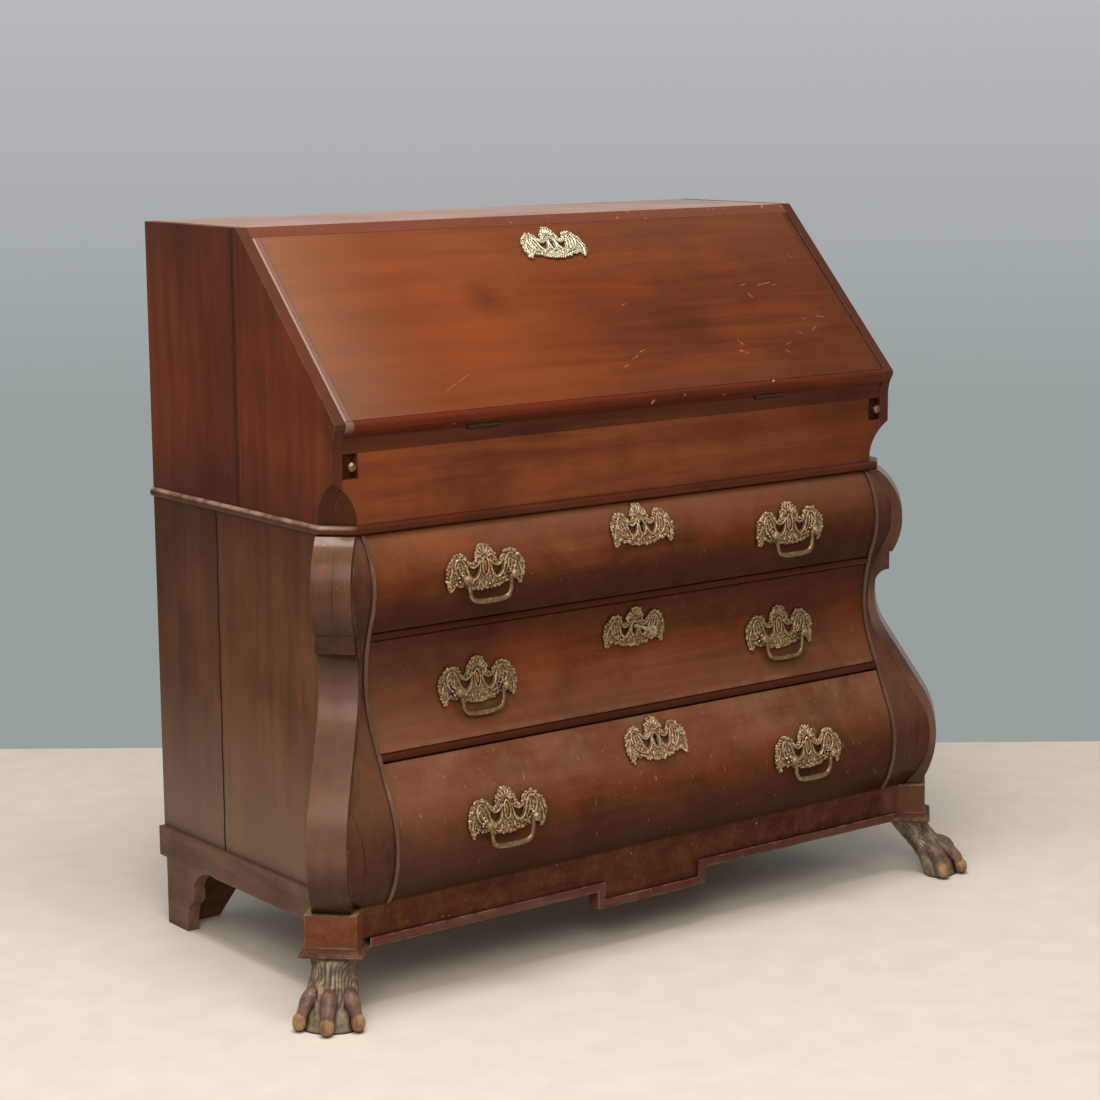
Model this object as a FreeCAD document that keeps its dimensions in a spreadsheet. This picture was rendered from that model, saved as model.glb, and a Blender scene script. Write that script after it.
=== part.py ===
"""Fall-front bureau: a slant-front writing case on a chest of three bombe drawers with paw feet.

Millimetres. X runs across the piece, -Y is its front, Z is up, and the origin lies on the floor
under the middle of the piece. Depths are measured forward from the back of the case.
"""
import FreeCAD, Part
import math
import operator
import os
import types

import Sketcher

DRIVING_SIZES = {
    # the whole case
    "back_plane": 322.5,
    "case_width": 1080,
    "case_depth": 511,
    "case_height": 1104,
    "side_thickness": 18,
    "top_thickness": 18,
    "back_thickness": 12,
    "running_clearance": 0.5,
    "seat_gap": 0.3,
    # slanted upper case
    "top_depth": 269,
    "cove_out": 10.5,
    "slant_foot_rise": 21.8,
    "nose_rise": 14.8,
    "cove_drop": 17.2,
    "upper_joint_setback": 4,
    "chamfer_rise": 64,
    "chamfer_setback": 29,
    "chamfer_foot": 5,
    # moulded waist between the two cases
    "waist_height": 695,
    "waist_thickness": 14,
    "waist_proud": 6,
    "waist_width": 36,
    "waist_cant": 34.6,
    "waist_rounding": 5.5,
    # bombe drawer front
    "neck_drop": 59,
    "neck_share": 0.682,
    "bulge_rise": 84,
    "bulge_depth": 75,
    "bulge_radius": 138,
    "shoulder_drop": 77,
    "shoulder_depth": 26.5,
    "shoulder_radius": 115,
    # lower case
    "lower_joint_depth": 188,
    "lower_joint_gap": 1.5,
    "corner_width": 52,
    "bead_width": 6,
    "bead_proud": 3,
    "drawer_1_opening": 142,
    "drawer_2_opening": 160.5,
    "rail_thickness": 12,
    "rail_proud": 4,
    "rail_depth": 45,
    "guide_height": 24,
    # canted corner pilasters
    "pilaster_width": 57,
    "pilaster_setback": 16.7,
    "pilaster_thickness": 27,
    "pilaster_step_drop": 35,
    "pilaster_neck_drop": 49,
    "pilaster_neck_share": 0.6185,
    "pilaster_bulge": 104.5,
    "pilaster_bulge_radius": 150,
    "pilaster_block_drop": 10,
    "pilaster_block_rise": 19,
    "pilaster_block_proud": 23,
    "pilaster_shoulder": 43,
    "pilaster_shoulder_drop": 81,
    "pilaster_shoulder_radius": 102,
    # plinth
    "plinth_height": 154,
    "plinth_thickness": 20,
    "plinth_front_proud": 44,
    "plinth_side_proud": 10,
    "plinth_board_bottom": 107,
    "bottom_thickness": 14,
    "bottom_notch": 16,
    "apron_width": 187,
    "apron_drop": 27,
    "lip_height": 13,
    "lip_proud": 5,
    "block_width": 76,
    "block_reach": 71,
    "block_back": 45,
    "collar_height": 14,
    "collar_edge": 5,
    "collar_spread": 9,
    # bracket feet at the back
    "bracket_ear": 21.5,
    "bracket_toe": 61,
    "bracket_step_out": 8,
    "bracket_step_height": 45,
    "bracket_step_radius": 80,
    "bracket_lobe_out": 20,
    "bracket_lobe_height": 77,
    "bracket_lobe_radius": 22,
    "bracket_tip_out": 88,
    "bracket_tip_radius": 62,
    # paw feet: reach along the diagonal from the corner of the case, width and depth at each level
    "ankle_reach": 39,
    "ankle_width": 79,
    "ankle_depth": 62,
    "shin_height": 62,
    "shin_reach": 60,
    "shin_width": 70,
    "shin_depth": 60,
    "instep_height": 36,
    "instep_reach": 92,
    "instep_width": 80,
    "instep_depth": 70,
    "sole_reach": 112,
    "sole_width": 82,
    "sole_depth": 74,
    "toe_root_spread": 28,
    "toe_tip_spread": 38,
    "middle_toe_lead": 14,
    "toe_depth": 32,
    "toe_root_height": 58,
    "toe_root_reach": 75,
    "toe_root_width": 20,
    "toe_knuckle_height": 43,
    "toe_knuckle_reach": 97,
    "toe_knuckle_width": 27,
    "toe_joint_height": 27,
    "toe_joint_reach": 116,
    "toe_joint_width": 22,
    "claw_height": 13,
    "claw_reach": 131,
    "claw_width": 25,
    "claw_foot_reach": 131,
    "claw_foot_width": 15,
    # drawers
    "drawer_gap": 1,
    "drawer_front_thickness": 23,
    "drawer_side_thickness": 12,
    "drawer_bottom_thickness": 8,
    "drawer_side_clearance": 1.5,
    "drawer_headroom": 12,
    "drawer_back_room": 18,
    # brass mounts of the drawers
    "plate_thickness": 3,
    "plate_width": 137,
    "plate_height": 64,
    "escutcheon_width": 116,
    "escutcheon_height": 59,
    "pull_spacing": 596,
    "pull_1_drop": 63,
    "pull_2_drop": 79,
    "pull_3_drop": 91,
    "keyhole_1_drop": 34,
    "keyhole_2_drop": 40,
    "keyhole_3_drop": 33.5,
    "keyhole_radius": 3.3,
    "keyhole_slot_width": 4,
    "keyhole_slot_length": 11,
    "post_spacing": 84,
    "post_radius": 6.5,
    "post_stem_radius": 4,
    "post_reach": 12,
    "post_button": 4,
    "post_drop": 14,
    "bail_wire_radius": 3,
    "bail_bore_gap": 0.3,
    "bail_drop": 33,
    "bail_corner": 12,
    "bail_elbow": 4,
    "bail_2_tilt": 6,
    # locks and key
    "lock_width": 64,
    "lock_above": 24,
    "lock_below": 20,
    "lock_depth": 13,
    "lock_pocket_radius": 14,
    "lock_pocket_depth": 8,
    "key_shaft_radius": 3,
    "key_length_outside": 40,
    "key_bow_radius": 7.5,
    "key_bow_wire": 3.5,
    "key_bow_thickness": 4,
    "key_bit_length": 9,
    "key_bit_thickness": 3,
    # writing board, well and lopers
    "desk_rise": 125.2,
    "desk_thickness": 22.2,
    "well_width": 600,
    "well_setback": 71,
    "well_length": 150,
    "well_wall": 12,
    "well_cover_thickness": 9.5,
    "loper_bay": 26,
    "false_panel_thickness": 18,
    "loper_height": 36,
    "loper_length": 400,
    "loper_recess": 12,
    "loper_runner": 12,
    "loper_guide": 12,
    "loper_filler_depth": 40,
    "loper_knob_radius": 6.5,
    "loper_knob_reach": 21,
    "loper_knob_stem": 2.6,
    "loper_knob_head": 9,
    # fall
    "fall_thickness": 22.4,
    "top_edge": 20,
    "fall_nosing": 13,
    "fall_nosing_round": 9,
    "fall_bead_width": 13,
    "fall_bead_round": 4,
    "fall_keyhole_drop": 40,
    "fall_lock_depth": 12,
    "fall_stop": 12,
    "fall_stop_low": 40,
    "fall_stop_top": 52,
    # fall hinges
    "hinge_spacing": 554,
    "hinge_width": 60,
    "hinge_middle": 22,
    "hinge_leaf": 40,
    "hinge_leaf_thickness": 2,
    "hinge_radius": 4,
    "hinge_pin_radius": 1.5,
    "hinge_play": 0.4,
    # gallery behind the fall
    "gallery_board": 8,
    "gallery_setback": 19,
    "gallery_lip": 50,
    "pigeonhole_setback": 34,
    "small_drawer_height": 87,
    "small_front_thickness": 12,
    "small_board": 6,
    "small_drawer_back": 40,
    "small_knob_radius": 8,
    "small_knob_reach": 14,
    "small_knob_stem": 4,
    "small_knob_head": 8,
}
PAW_SIDES = 12
TOE_SIDES = 8
BAIL_SIDES = 6
SMALL_DRAWERS = 3
PIGEONHOLES = 6
BACK_PLANKS = 3

doc = FreeCAD.newDocument("fall_front_bureau")
sheet = doc.addObject("Spreadsheet::Sheet", "sizes")
for row, (alias, number) in enumerate(DRIVING_SIZES.items(), start=1):
    sheet.set(f"A{row}", alias)
    sheet.set(f"B{row}", str(number))
    sheet.setAlias(f"B{row}", alias)
doc.recompute()


class Size:
    """A sheet expression together with its present value, so that sums stay tied to the sheet."""

    def __init__(self, text, number):
        self.text = text
        self.number = number

    def __add__(self, other):
        return combine(self, "+", operator.add, other)

    def __radd__(self, other):
        return combine(other, "+", operator.add, self)

    def __sub__(self, other):
        return combine(self, "-", operator.sub, other)

    def __rsub__(self, other):
        return combine(other, "-", operator.sub, self)

    def __mul__(self, other):
        return combine(self, "*", operator.mul, other)

    def __rmul__(self, other):
        return combine(other, "*", operator.mul, self)

    def __truediv__(self, other):
        return combine(self, "/", operator.truediv, other)

    def __neg__(self):
        return combine(0, "-", operator.sub, self)


def as_size(value):
    if isinstance(value, Size):
        return value
    return Size(f"({value})", float(value))


def combine(first, sign, work, second):
    first = as_size(first)
    second = as_size(second)
    return Size(f"({first.text} {sign} {second.text})", work(first.number, second.number))


def root(value):
    return Size(f"sqrt({value.text})", math.sqrt(value.number))


def square(value):
    return value * value


s = types.SimpleNamespace()
for alias, number in DRIVING_SIZES.items():
    setattr(s, alias, Size(f"sizes.{alias}", float(number)))
ROOT_2 = root(as_size(2))

half_width = s.case_width / 2
inner_half = half_width - s.side_thickness
waist_bottom = s.waist_height - s.waist_thickness
nodes = {}

# Heights of the lower case, from the waist down and from the plinth up.
rail_1_top = waist_bottom - s.drawer_1_opening
rail_1_bottom = rail_1_top - s.rail_thickness
rail_2_top = rail_1_bottom - s.drawer_2_opening
rail_2_bottom = rail_2_top - s.rail_thickness
opening_half = half_width - s.corner_width
neck_height = rail_1_bottom - s.neck_drop
bulge_height = s.plinth_height + s.bulge_rise
shoulder_height = waist_bottom - s.shoulder_drop
pilaster_neck_height = rail_1_bottom - s.pilaster_neck_drop
pilaster_neck_top = rail_1_bottom - s.pilaster_step_drop
pilaster_block_bottom = rail_1_bottom - s.pilaster_block_drop
pilaster_block_top = rail_1_bottom + s.pilaster_block_rise
pilaster_shoulder_height = waist_bottom - s.pilaster_shoulder_drop
plinth_front_depth = s.case_depth + s.plinth_front_proud


def neck_limit(rise, out, radius):
    """The largest hollow that still leaves a straight run down to a bulge of this radius."""
    back = radius - out
    return (square(rise) + square(back) - square(radius)) / (2 * out)


neck_radius = s.neck_share * neck_limit(neck_height - bulge_height, s.bulge_depth, s.bulge_radius)
pilaster_neck_radius = s.pilaster_neck_share * neck_limit(
    pilaster_neck_height - bulge_height, s.pilaster_bulge, s.pilaster_bulge_radius,
)

# Heights and depths of the upper case, from the waist up and from the front back.
desk_height = s.waist_height + s.desk_rise
chamfer_start = s.waist_height + s.chamfer_foot
chamfer_tip_height = s.waist_height + s.chamfer_rise
cove_bottom = desk_height - s.cove_drop
nose_bottom = desk_height + s.nose_rise
slant_foot_height = desk_height + s.slant_foot_rise
slant_foot_depth = s.case_depth + s.cove_out
upper_joint_depth = s.top_depth - s.upper_joint_setback
well_front_depth = s.case_depth - s.well_setback
well_back_depth = well_front_depth - s.well_length
gallery_front_depth = s.top_depth - s.gallery_setback
gallery_lip_depth = gallery_front_depth + s.gallery_lip
pigeonhole_front_depth = s.top_depth - s.pigeonhole_setback

# The slope of the fall, and its length from the hinge axis to the edge of the top board.
fall_axis_height = desk_height + s.seat_gap
slant_run = slant_foot_depth - s.top_depth
slant_rise = s.case_height - slant_foot_height
slant_length = root(square(slant_run) + square(slant_rise))
slant_angle = Size(
    f"atan({slant_rise.text} / {slant_run.text})",
    math.degrees(math.atan2(slant_rise.number, slant_run.number)),
)
top_reach = (s.case_depth - s.top_depth) * slant_run + (s.case_height - fall_axis_height) * slant_rise
fall_length = top_reach / slant_length - s.top_edge
fall_keyhole_reach = fall_length - s.fall_keyhole_drop
fall_stop_high = fall_length - s.fall_stop_top


def front(depth):
    """Y of a point that lies this far in front of the back of the case."""
    return s.back_plane - depth


def span(back_depth, front_depth):
    """The Y range between two depths."""
    return front(front_depth), front(back_depth)


def across(half):
    return -half, half


def bind(thing, path, value):
    thing.setExpression(path, as_size(value).text)


def move(thing, x=0, y=0, z=0):
    for letter, value in (("x", x), ("y", y), ("z", z)):
        bind(thing, f"Placement.Base.{letter}", value)
    return thing


def turn(thing, axis, angle):
    angle = as_size(angle)
    thing.Placement = FreeCAD.Placement(FreeCAD.Vector(), FreeCAD.Rotation(FreeCAD.Vector(axis), angle.number))
    thing.setExpression("Placement.Rotation.Angle", angle.text)
    return thing


def add(kind, label):
    thing = doc.addObject(kind, label)
    thing.Label = label
    return thing


def node(label, *pieces):
    """Name a finished sub-part; several pieces stay separate solids in one node."""
    if len(pieces) == 1:
        pieces[0].Label = label
        nodes[label] = pieces[0]
        return pieces[0]
    group = add("Part::Compound", label)
    group.Links = list(pieces)
    nodes[label] = group
    return group


def board(label, x, y, z):
    """A squared board between two X, two Y and two Z planes."""
    box = add("Part::Box", label)
    for side, (low, high) in zip(("Length", "Width", "Height"), (x, y, z)):
        bind(box, side, as_size(high) - low)
    return move(box, x[0], y[0], z[0])


def rod(label, radius, length, axis="z"):
    cylinder = add("Part::Cylinder", label)
    bind(cylinder, "Radius", radius)
    bind(cylinder, "Height", length)
    if axis == "x":
        turn(cylinder, (0, 1, 0), 90)
    if axis == "y":
        turn(cylinder, (1, 0, 0), 90)
    return cylinder


def turned(label, outline):
    """A turned piece along -Y from the origin; outline points are (distance along, radius)."""
    body = add("PartDesign::Body", label)
    corners = [(radius, along) for along, radius in outline]
    profile = draw(sketch_on(body, "XZ_Plane", f"{label}_profile"), corners)
    revolution = body.newObject("PartDesign::Revolution", f"{label}_revolution")
    revolution.Profile = profile
    revolution.ReferenceAxis = (profile, ["V_Axis"])
    revolution.Angle = 360
    return turn(body, (1, 0, 0), 90)


def knob_outline(reach, radius, stem, head):
    """Half outline of a turned knob: a waisted stem, a flared head and a slightly domed face."""
    neck = reach - head
    return (
        (as_size(0), as_size(0)), (as_size(0), stem * 1.5), (neck * 0.3, stem), (neck, stem),
        (neck + head * 0.35, radius), (reach - head * 0.3, radius), (reach, radius * 0.6), (reach, as_size(0)),
    )


def cut(label, base, *tools):
    for count, tool in enumerate(tools):
        result = add("Part::Cut", label if count == len(tools) - 1 else f"{label}_cut_{count}")
        result.Base = base
        result.Tool = tool
        base = result
    return base


def common(label, first, second):
    result = add("Part::MultiCommon", label)
    result.Shapes = [first, second]
    return result


def fuse(label, *pieces):
    result = add("Part::MultiFuse", label)
    result.Shapes = list(pieces)
    return result


def mirrored(label, source):
    result = add("Part::Mirroring", label)
    result.Source = source
    result.Normal = FreeCAD.Vector(1, 0, 0)
    return result


def plane_of(body, role):
    return next(item for item in body.Origin.OriginFeatures if item.Role == role)


def sketch_on(body, role, label):
    sketch = body.newObject("Sketcher::SketchObject", label)
    sketch.AttachmentSupport = [(plane_of(body, role), "")]
    sketch.MapMode = "FlatFace"
    return sketch


def edge_between(start, end, radius):
    """A line, or an arc turning left for a positive radius and right for a negative one."""
    first = FreeCAD.Vector(start[0].number, start[1].number, 0)
    last = FreeCAD.Vector(end[0].number, end[1].number, 0)
    if radius is None:
        return Part.LineSegment(first, last), (1, 2)
    chord = last - first
    side = 1 if radius.number > 0 else -1
    rise = math.sqrt(radius.number ** 2 - (chord.Length / 2) ** 2)
    left = FreeCAD.Vector(-chord.y, chord.x, 0).normalize()
    centre = (first + last) / 2 + left * rise * side
    circle = Part.Circle(centre, FreeCAD.Vector(0, 0, 1), abs(radius.number))
    if side < 0:
        first, last = last, first
    angles = [math.atan2(point.y - centre.y, point.x - centre.x) for point in (first, last)]
    if angles[1] < angles[0]:
        angles[1] += 2 * math.pi
    return Part.ArcOfCircle(circle, *angles), (1, 2) if side > 0 else (2, 1)


def draw(sketch, corners, closed=True):
    """Draw corners (across, up) or (across, up, radius of the arc that leads to the corner)."""
    corners = [tuple(as_size(value) for value in corner) for corner in corners]
    count = len(corners)
    edges = []
    ends = []
    radii = []
    for index in range(count if closed else count - 1):
        target = corners[(index + 1) % count]
        radius = target[2] if len(target) == 3 else None
        edge, order = edge_between(corners[index], target, radius)
        edges.append(edge)
        ends.append(order)
        radii.append(radius)
    first = sketch.GeometryCount
    sketch.addGeometry(edges, False)
    rules = []
    bindings = []
    for index in range(len(edges)):
        follower = (index + 1) % len(edges)
        if closed or index < len(edges) - 1:
            pair = first + index, ends[index][1], first + follower, ends[follower][0]
            rules.append(Sketcher.Constraint("Coincident", *pair))
    fixed = [(index, ends[index][0], corners[index]) for index in range(len(edges))]
    if not closed:
        fixed.append((len(edges) - 1, ends[-1][1], corners[-1]))
    for index, end, corner in fixed:
        for kind, value in (("DistanceX", corner[0]), ("DistanceY", corner[1])):
            bindings.append((len(rules), value))
            rules.append(Sketcher.Constraint(kind, -1, 1, first + index, end, value.number))
    for index, radius in enumerate(radii):
        if radius is not None:
            size = radius if radius.number > 0 else -radius
            bindings.append((len(rules), size))
            rules.append(Sketcher.Constraint("Radius", first + index, size.number))
    earlier = sketch.ConstraintCount
    sketch.addConstraint(rules)
    for index, value in bindings:
        sketch.setExpression(f"Constraints[{earlier + index}]", value.text)
    return sketch


def padded(label, role, corners, length, both_ways=False, backwards=False, holes=()):
    """A body padded from an outline, and any holes in it, on one of its own origin planes."""
    body = add("PartDesign::Body", label)
    outline = draw(sketch_on(body, role, f"{label}_outline"), corners)
    for hole in holes:
        draw(outline, hole)
    pad = body.newObject("PartDesign::Pad", f"{label}_pad")
    pad.Profile = outline
    bind(pad, "Length", length)
    if both_ways:
        pad.SideType = "Symmetric"
    pad.Reversed = backwards
    return body


def side_profile(label, corners, x):
    """Corners are (depth, height, ...); the profile runs between two X planes."""
    turned = [(front(corner[0]), *corner[1:]) for corner in corners]
    body = padded(label, "YZ_Plane", turned, as_size(x[1]) - x[0])
    return move(body, x[0])


def plan_prism(label, corners, z):
    """Corners are (x, depth, ...); the prism runs between two heights."""
    turned = [(corner[0], front(corner[1]), *corner[2:]) for corner in corners]
    body = padded(label, "XY_Plane", turned, as_size(z[1]) - z[0])
    return move(body, 0, 0, z[0])


def stacked(label, levels):
    """A solid run straight from level to level; a level is a height and the outline there."""
    sections = []
    for count, (height, corners) in enumerate(levels):
        outline = add("Sketcher::SketchObject", f"{label}_level_{count}")
        sections.append(move(draw(outline, corners), 0, 0, height))
    solid = add("Part::Loft", label)
    solid.Sections = sections
    solid.Solid = True
    solid.Ruled = True
    return solid


def oval(middle, reach, width, depth, sides):
    """A many-sided oval round a point that lies out along -Y."""
    corners = []
    for count in range(sides):
        angle = 2 * math.pi * (count + 0.5) / sides
        corners.append((middle + width / 2 * math.cos(angle), depth / 2 * math.sin(angle) - reach))
    return corners


def front_outline(label, corners, depths, holes=()):
    """Corners are (x, height, ...); the plate runs between two depths."""
    body = padded(label, "XZ_Plane", corners, as_size(depths[1]) - depths[0], holes=holes)
    return move(body, 0, front(depths[0]), 0)


def at_corner(thing):
    """Turn a piece that faces -Y at the origin to the left front corner's diagonal."""
    thing.Placement = FreeCAD.Placement(FreeCAD.Vector(), FreeCAD.Rotation(FreeCAD.Vector(0, 0, 1), -45))
    return move(thing, -half_width, front(s.case_depth), 0)


def inner_cheek(depth, width):
    """How far from the middle a canted corner piece of this width starts at a depth."""
    return depth + half_width - s.case_depth - width / ROOT_2


def outer_cheek(x, width):
    """The depth at which a canted corner piece of this width starts, this far from the middle."""
    return x - half_width + s.case_depth - width / ROOT_2


def tangent_of(low, low_radius, high, high_radius):
    """Unit normal of the straight run between a convex circle below and a hollow circle above it."""
    rise = high[0] - low[0]
    out = high[1] - low[1]
    length = root(square(rise) + square(out))
    along = (low_radius + high_radius) / length
    aside = root(1 - square(along))
    return along * rise / length - aside * out / length, along * out / length + aside * rise / length


# The bombe profile: a bulge, a straight run, a hollow neck and a shoulder, each tangent to the next.
bulge_centre = bulge_height, s.case_depth + s.bulge_depth - s.bulge_radius
neck_centre = neck_height, s.case_depth + neck_radius
shoulder_centre = shoulder_height, s.case_depth + s.shoulder_depth - s.shoulder_radius
shoulder_rise = shoulder_height - neck_height
neck_to_shoulder = (square(shoulder_rise) + square(s.shoulder_depth)) / (2 * s.shoulder_depth)
upper_neck_radius = neck_to_shoulder - s.shoulder_radius
upper_neck_centre = neck_height, s.case_depth + upper_neck_radius
front_normal = tangent_of(bulge_centre, s.bulge_radius, neck_centre, neck_radius)
shoulder_normal = tuple((upper_neck_centre[i] - shoulder_centre[i]) / neck_to_shoulder for i in (0, 1))


def on_circle(centre, radius, height, side):
    return centre[1] + side * root(square(radius) - square(height - centre[0]))


def bombe_depth(height):
    """Depth of the drawer front at a height."""
    height = as_size(height)
    bulge_end = bulge_centre[0] + s.bulge_radius * front_normal[0]
    run_end = neck_centre[0] - neck_radius * front_normal[0]
    neck_end = shoulder_centre[0] + s.shoulder_radius * shoulder_normal[0]
    if height.number < bulge_end.number:
        return on_circle(bulge_centre, s.bulge_radius, height, 1)
    if height.number < run_end.number:
        start = bulge_centre[1] + s.bulge_radius * front_normal[1]
        return start - (height - bulge_end) * front_normal[0] / front_normal[1]
    if height.number < neck_height.number:
        return on_circle(neck_centre, neck_radius, height, -1)
    if height.number < neck_end.number:
        return on_circle(upper_neck_centre, upper_neck_radius, height, -1)
    return on_circle(shoulder_centre, s.shoulder_radius, height, 1)


def bombe_form(label, proud, inner_depth):
    """The whole width of the front between plinth and waist, standing proud of the drawers."""
    low = bulge_centre
    radius = s.bulge_radius + proud
    neck = neck_radius - proud
    shoulder = s.shoulder_radius + proud
    corners = (
        (inner_depth, s.plinth_height),
        (on_circle(low, radius, s.plinth_height, 1), s.plinth_height),
        (low[1] + radius * front_normal[1], low[0] + radius * front_normal[0], -radius),
        (neck_centre[1] - neck * front_normal[1], neck_centre[0] - neck * front_normal[0]),
        (s.case_depth + proud, neck_height, neck),
        (
            shoulder_centre[1] + shoulder * shoulder_normal[1],
            shoulder_centre[0] + shoulder * shoulder_normal[0],
            upper_neck_radius - proud,
        ),
        (on_circle(shoulder_centre, shoulder, waist_bottom, 1), waist_bottom, -shoulder),
        (inner_depth, waist_bottom),
    )
    reach = half_width + s.bulge_depth
    return side_profile(label, corners, across(reach))


form_inner = s.case_depth - 2 * s.drawer_front_thickness
drawer_form = bombe_form("drawer_form", as_size(0), form_inner)
bead_form = bombe_form("bead_form", s.bead_proud, form_inner)
plate_back_form = bombe_form("plate_back_form", s.seat_gap, form_inner)
plate_front_form = bombe_form("plate_front_form", s.seat_gap + s.plate_thickness, form_inner)
plate_shell = cut("plate_shell", plate_front_form, plate_back_form)


def corner_pilasters():
    """Constant-width boards on the diagonal, their faces moving out along it with the bombe."""
    neck = s.pilaster_setback
    low = bulge_height, s.pilaster_bulge - s.pilaster_bulge_radius
    high = pilaster_neck_height, pilaster_neck_radius
    normal = tangent_of(low, s.pilaster_bulge_radius, high, pilaster_neck_radius)
    top = pilaster_shoulder_height, s.pilaster_shoulder - s.pilaster_shoulder_radius
    step_rise = pilaster_block_bottom - pilaster_neck_top
    step_radius = (square(step_rise) + square(s.pilaster_block_proud)) / (2 * s.pilaster_block_proud)
    faces = (
        (on_circle(low, s.pilaster_bulge_radius, s.plinth_height, 1), s.plinth_height),
        (
            low[1] + s.pilaster_bulge_radius * normal[1],
            low[0] + s.pilaster_bulge_radius * normal[0],
            -s.pilaster_bulge_radius,
        ),
        (high[1] - high[1] * normal[1], high[0] - high[1] * normal[0]),
        (as_size(0), pilaster_neck_height, high[1]),
        (as_size(0), pilaster_neck_top),
        (s.pilaster_block_proud, pilaster_block_bottom, step_radius),
        (s.pilaster_block_proud, pilaster_block_top),
        (on_circle(top, s.pilaster_shoulder_radius, pilaster_block_top, 1), pilaster_block_top),
        (
            on_circle(top, s.pilaster_shoulder_radius, waist_bottom, 1),
            waist_bottom,
            -s.pilaster_shoulder_radius,
        ),
    )
    back = neck + s.pilaster_thickness
    corners = [(back, s.plinth_height)]
    corners += [(neck - face[0], *face[1:]) for face in faces]
    corners.append((back, waist_bottom))
    left = at_corner(padded("pilaster_left", "YZ_Plane", corners, s.pilaster_width, both_ways=True))
    node("corner_pilasters", left, mirrored("pilaster_right", left))


def front_stiles():
    """Wedge-shaped stiles between the drawers and the pilasters, with a bead at the opening."""
    edge = opening_half + s.bead_width
    width = s.pilaster_width
    far = s.case_depth + 2 * s.bulge_depth
    apex = edge - inner_cheek(as_size(0), width)
    corners = ((-edge, apex), (-edge, far), (-inner_cheek(far, width), far))
    wedge = plan_prism("stile_wedge", corners, (s.plinth_height, waist_bottom))
    left = common("stile_left", drawer_form, wedge)
    node("front_stiles", left, mirrored("stile_right", left))
    strip = board("bead_strip", (-edge, -opening_half), span(apex, far), (s.plinth_height, waist_bottom))
    bead = common("bead_left", bead_form, strip)
    node("stile_beads", bead, mirrored("bead_right", bead))


def lower_case():
    stand = s.plinth_height, waist_bottom
    for side, x in (("left", (-half_width, -inner_half)), ("right", (inner_half, half_width))):
        joint = s.lower_joint_depth
        rear = board(f"lower_{side}_rear", x, span(as_size(0), joint), stand)
        outer = half_width, outer_cheek(half_width, s.pilaster_width)
        inner = inner_half, outer_cheek(inner_half, s.pilaster_width)
        sign = -1 if side == "left" else 1
        corners = (
            (sign * outer[0], joint + s.lower_joint_gap),
            (sign * inner[0], joint + s.lower_joint_gap),
            (sign * inner[0], inner[1]),
            (sign * outer[0], outer[1]),
        )
        node(f"lower_side_{side}", rear, plan_prism(f"lower_{side}_front", corners, stand))
    planks("lower_back_planks", s.plinth_height, waist_bottom)
    runners = []
    guide_end = outer_cheek(inner_half, s.pilaster_width) - s.pilaster_thickness
    for number, height in ((1, rail_1_bottom), (2, rail_2_bottom)):
        back_edge = bombe_depth(height) - s.rail_depth
        right = (
            (inner_half, s.back_thickness), (inner_half, guide_end),
            (opening_half, guide_end), (opening_half, back_edge),
        )
        corners = right + tuple((-x, depth) for x, depth in reversed(right))
        runners.append(plan_prism(f"dust_board_{number}", corners, (height, height + s.rail_thickness)))
    slack = s.drawer_side_clearance - s.running_clearance
    for number, height in ((1, rail_1_top), (2, rail_2_top), (3, s.plinth_height)):
        for name, sign in (("left", -1), ("right", 1)):
            x = (-inner_half, slack - opening_half) if sign < 0 else (opening_half - slack, inner_half)
            depth = span(s.back_thickness, guide_end)
            guide = board(f"guide_{number}_{name}", x, depth, (height, height + s.guide_height))
            runners.append(guide)
    node("drawer_runners", *runners)
    rails = []
    for number, height in ((1, rail_1_bottom), (2, rail_2_bottom)):
        middle = height + s.rail_thickness / 2
        nose = bombe_depth(middle) + s.rail_proud
        back_edge = bombe_depth(height) - s.rail_depth
        radius = s.rail_thickness / 2
        corners = (
            (back_edge, height),
            (nose - radius, height),
            (nose, middle, -radius * 1.0001),
            (nose - radius, height + s.rail_thickness, -radius * 1.0001),
            (back_edge, height + s.rail_thickness),
        )
        rails.append(side_profile(f"rail_{number}", corners, across(opening_half)))
    node("drawer_rails", *rails)
    bottom = s.plinth_height - s.bottom_thickness, s.plinth_height
    plinth_inner = half_width + s.plinth_side_proud - s.plinth_thickness
    front_edge = plinth_front_depth - s.plinth_thickness
    block_corner = (s.block_back + s.block_width / 2) / ROOT_2 + s.bottom_notch
    near = s.case_depth - block_corner
    block_half = half_width - block_corner
    back_edge = s.bracket_ear + s.plinth_thickness
    corners = (
        (-plinth_inner, back_edge), (plinth_inner, back_edge), (plinth_inner, near),
        (block_half, near), (block_half, front_edge),
        (-block_half, front_edge), (-block_half, near), (-plinth_inner, near),
    )
    node("bottom_board", plan_prism("bottom_board_form", corners, bottom))


def planks(label, low, high):
    """Horizontal back boards between the case sides."""
    pieces = []
    step = (high - low) / BACK_PLANKS
    for count in range(BACK_PLANKS):
        z = low + step * count, low + step * (count + 1)
        pieces.append(board(f"{label}_{count + 1}", across(inner_half), span(as_size(0), s.back_thickness), z))
    node(label, *pieces)


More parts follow.
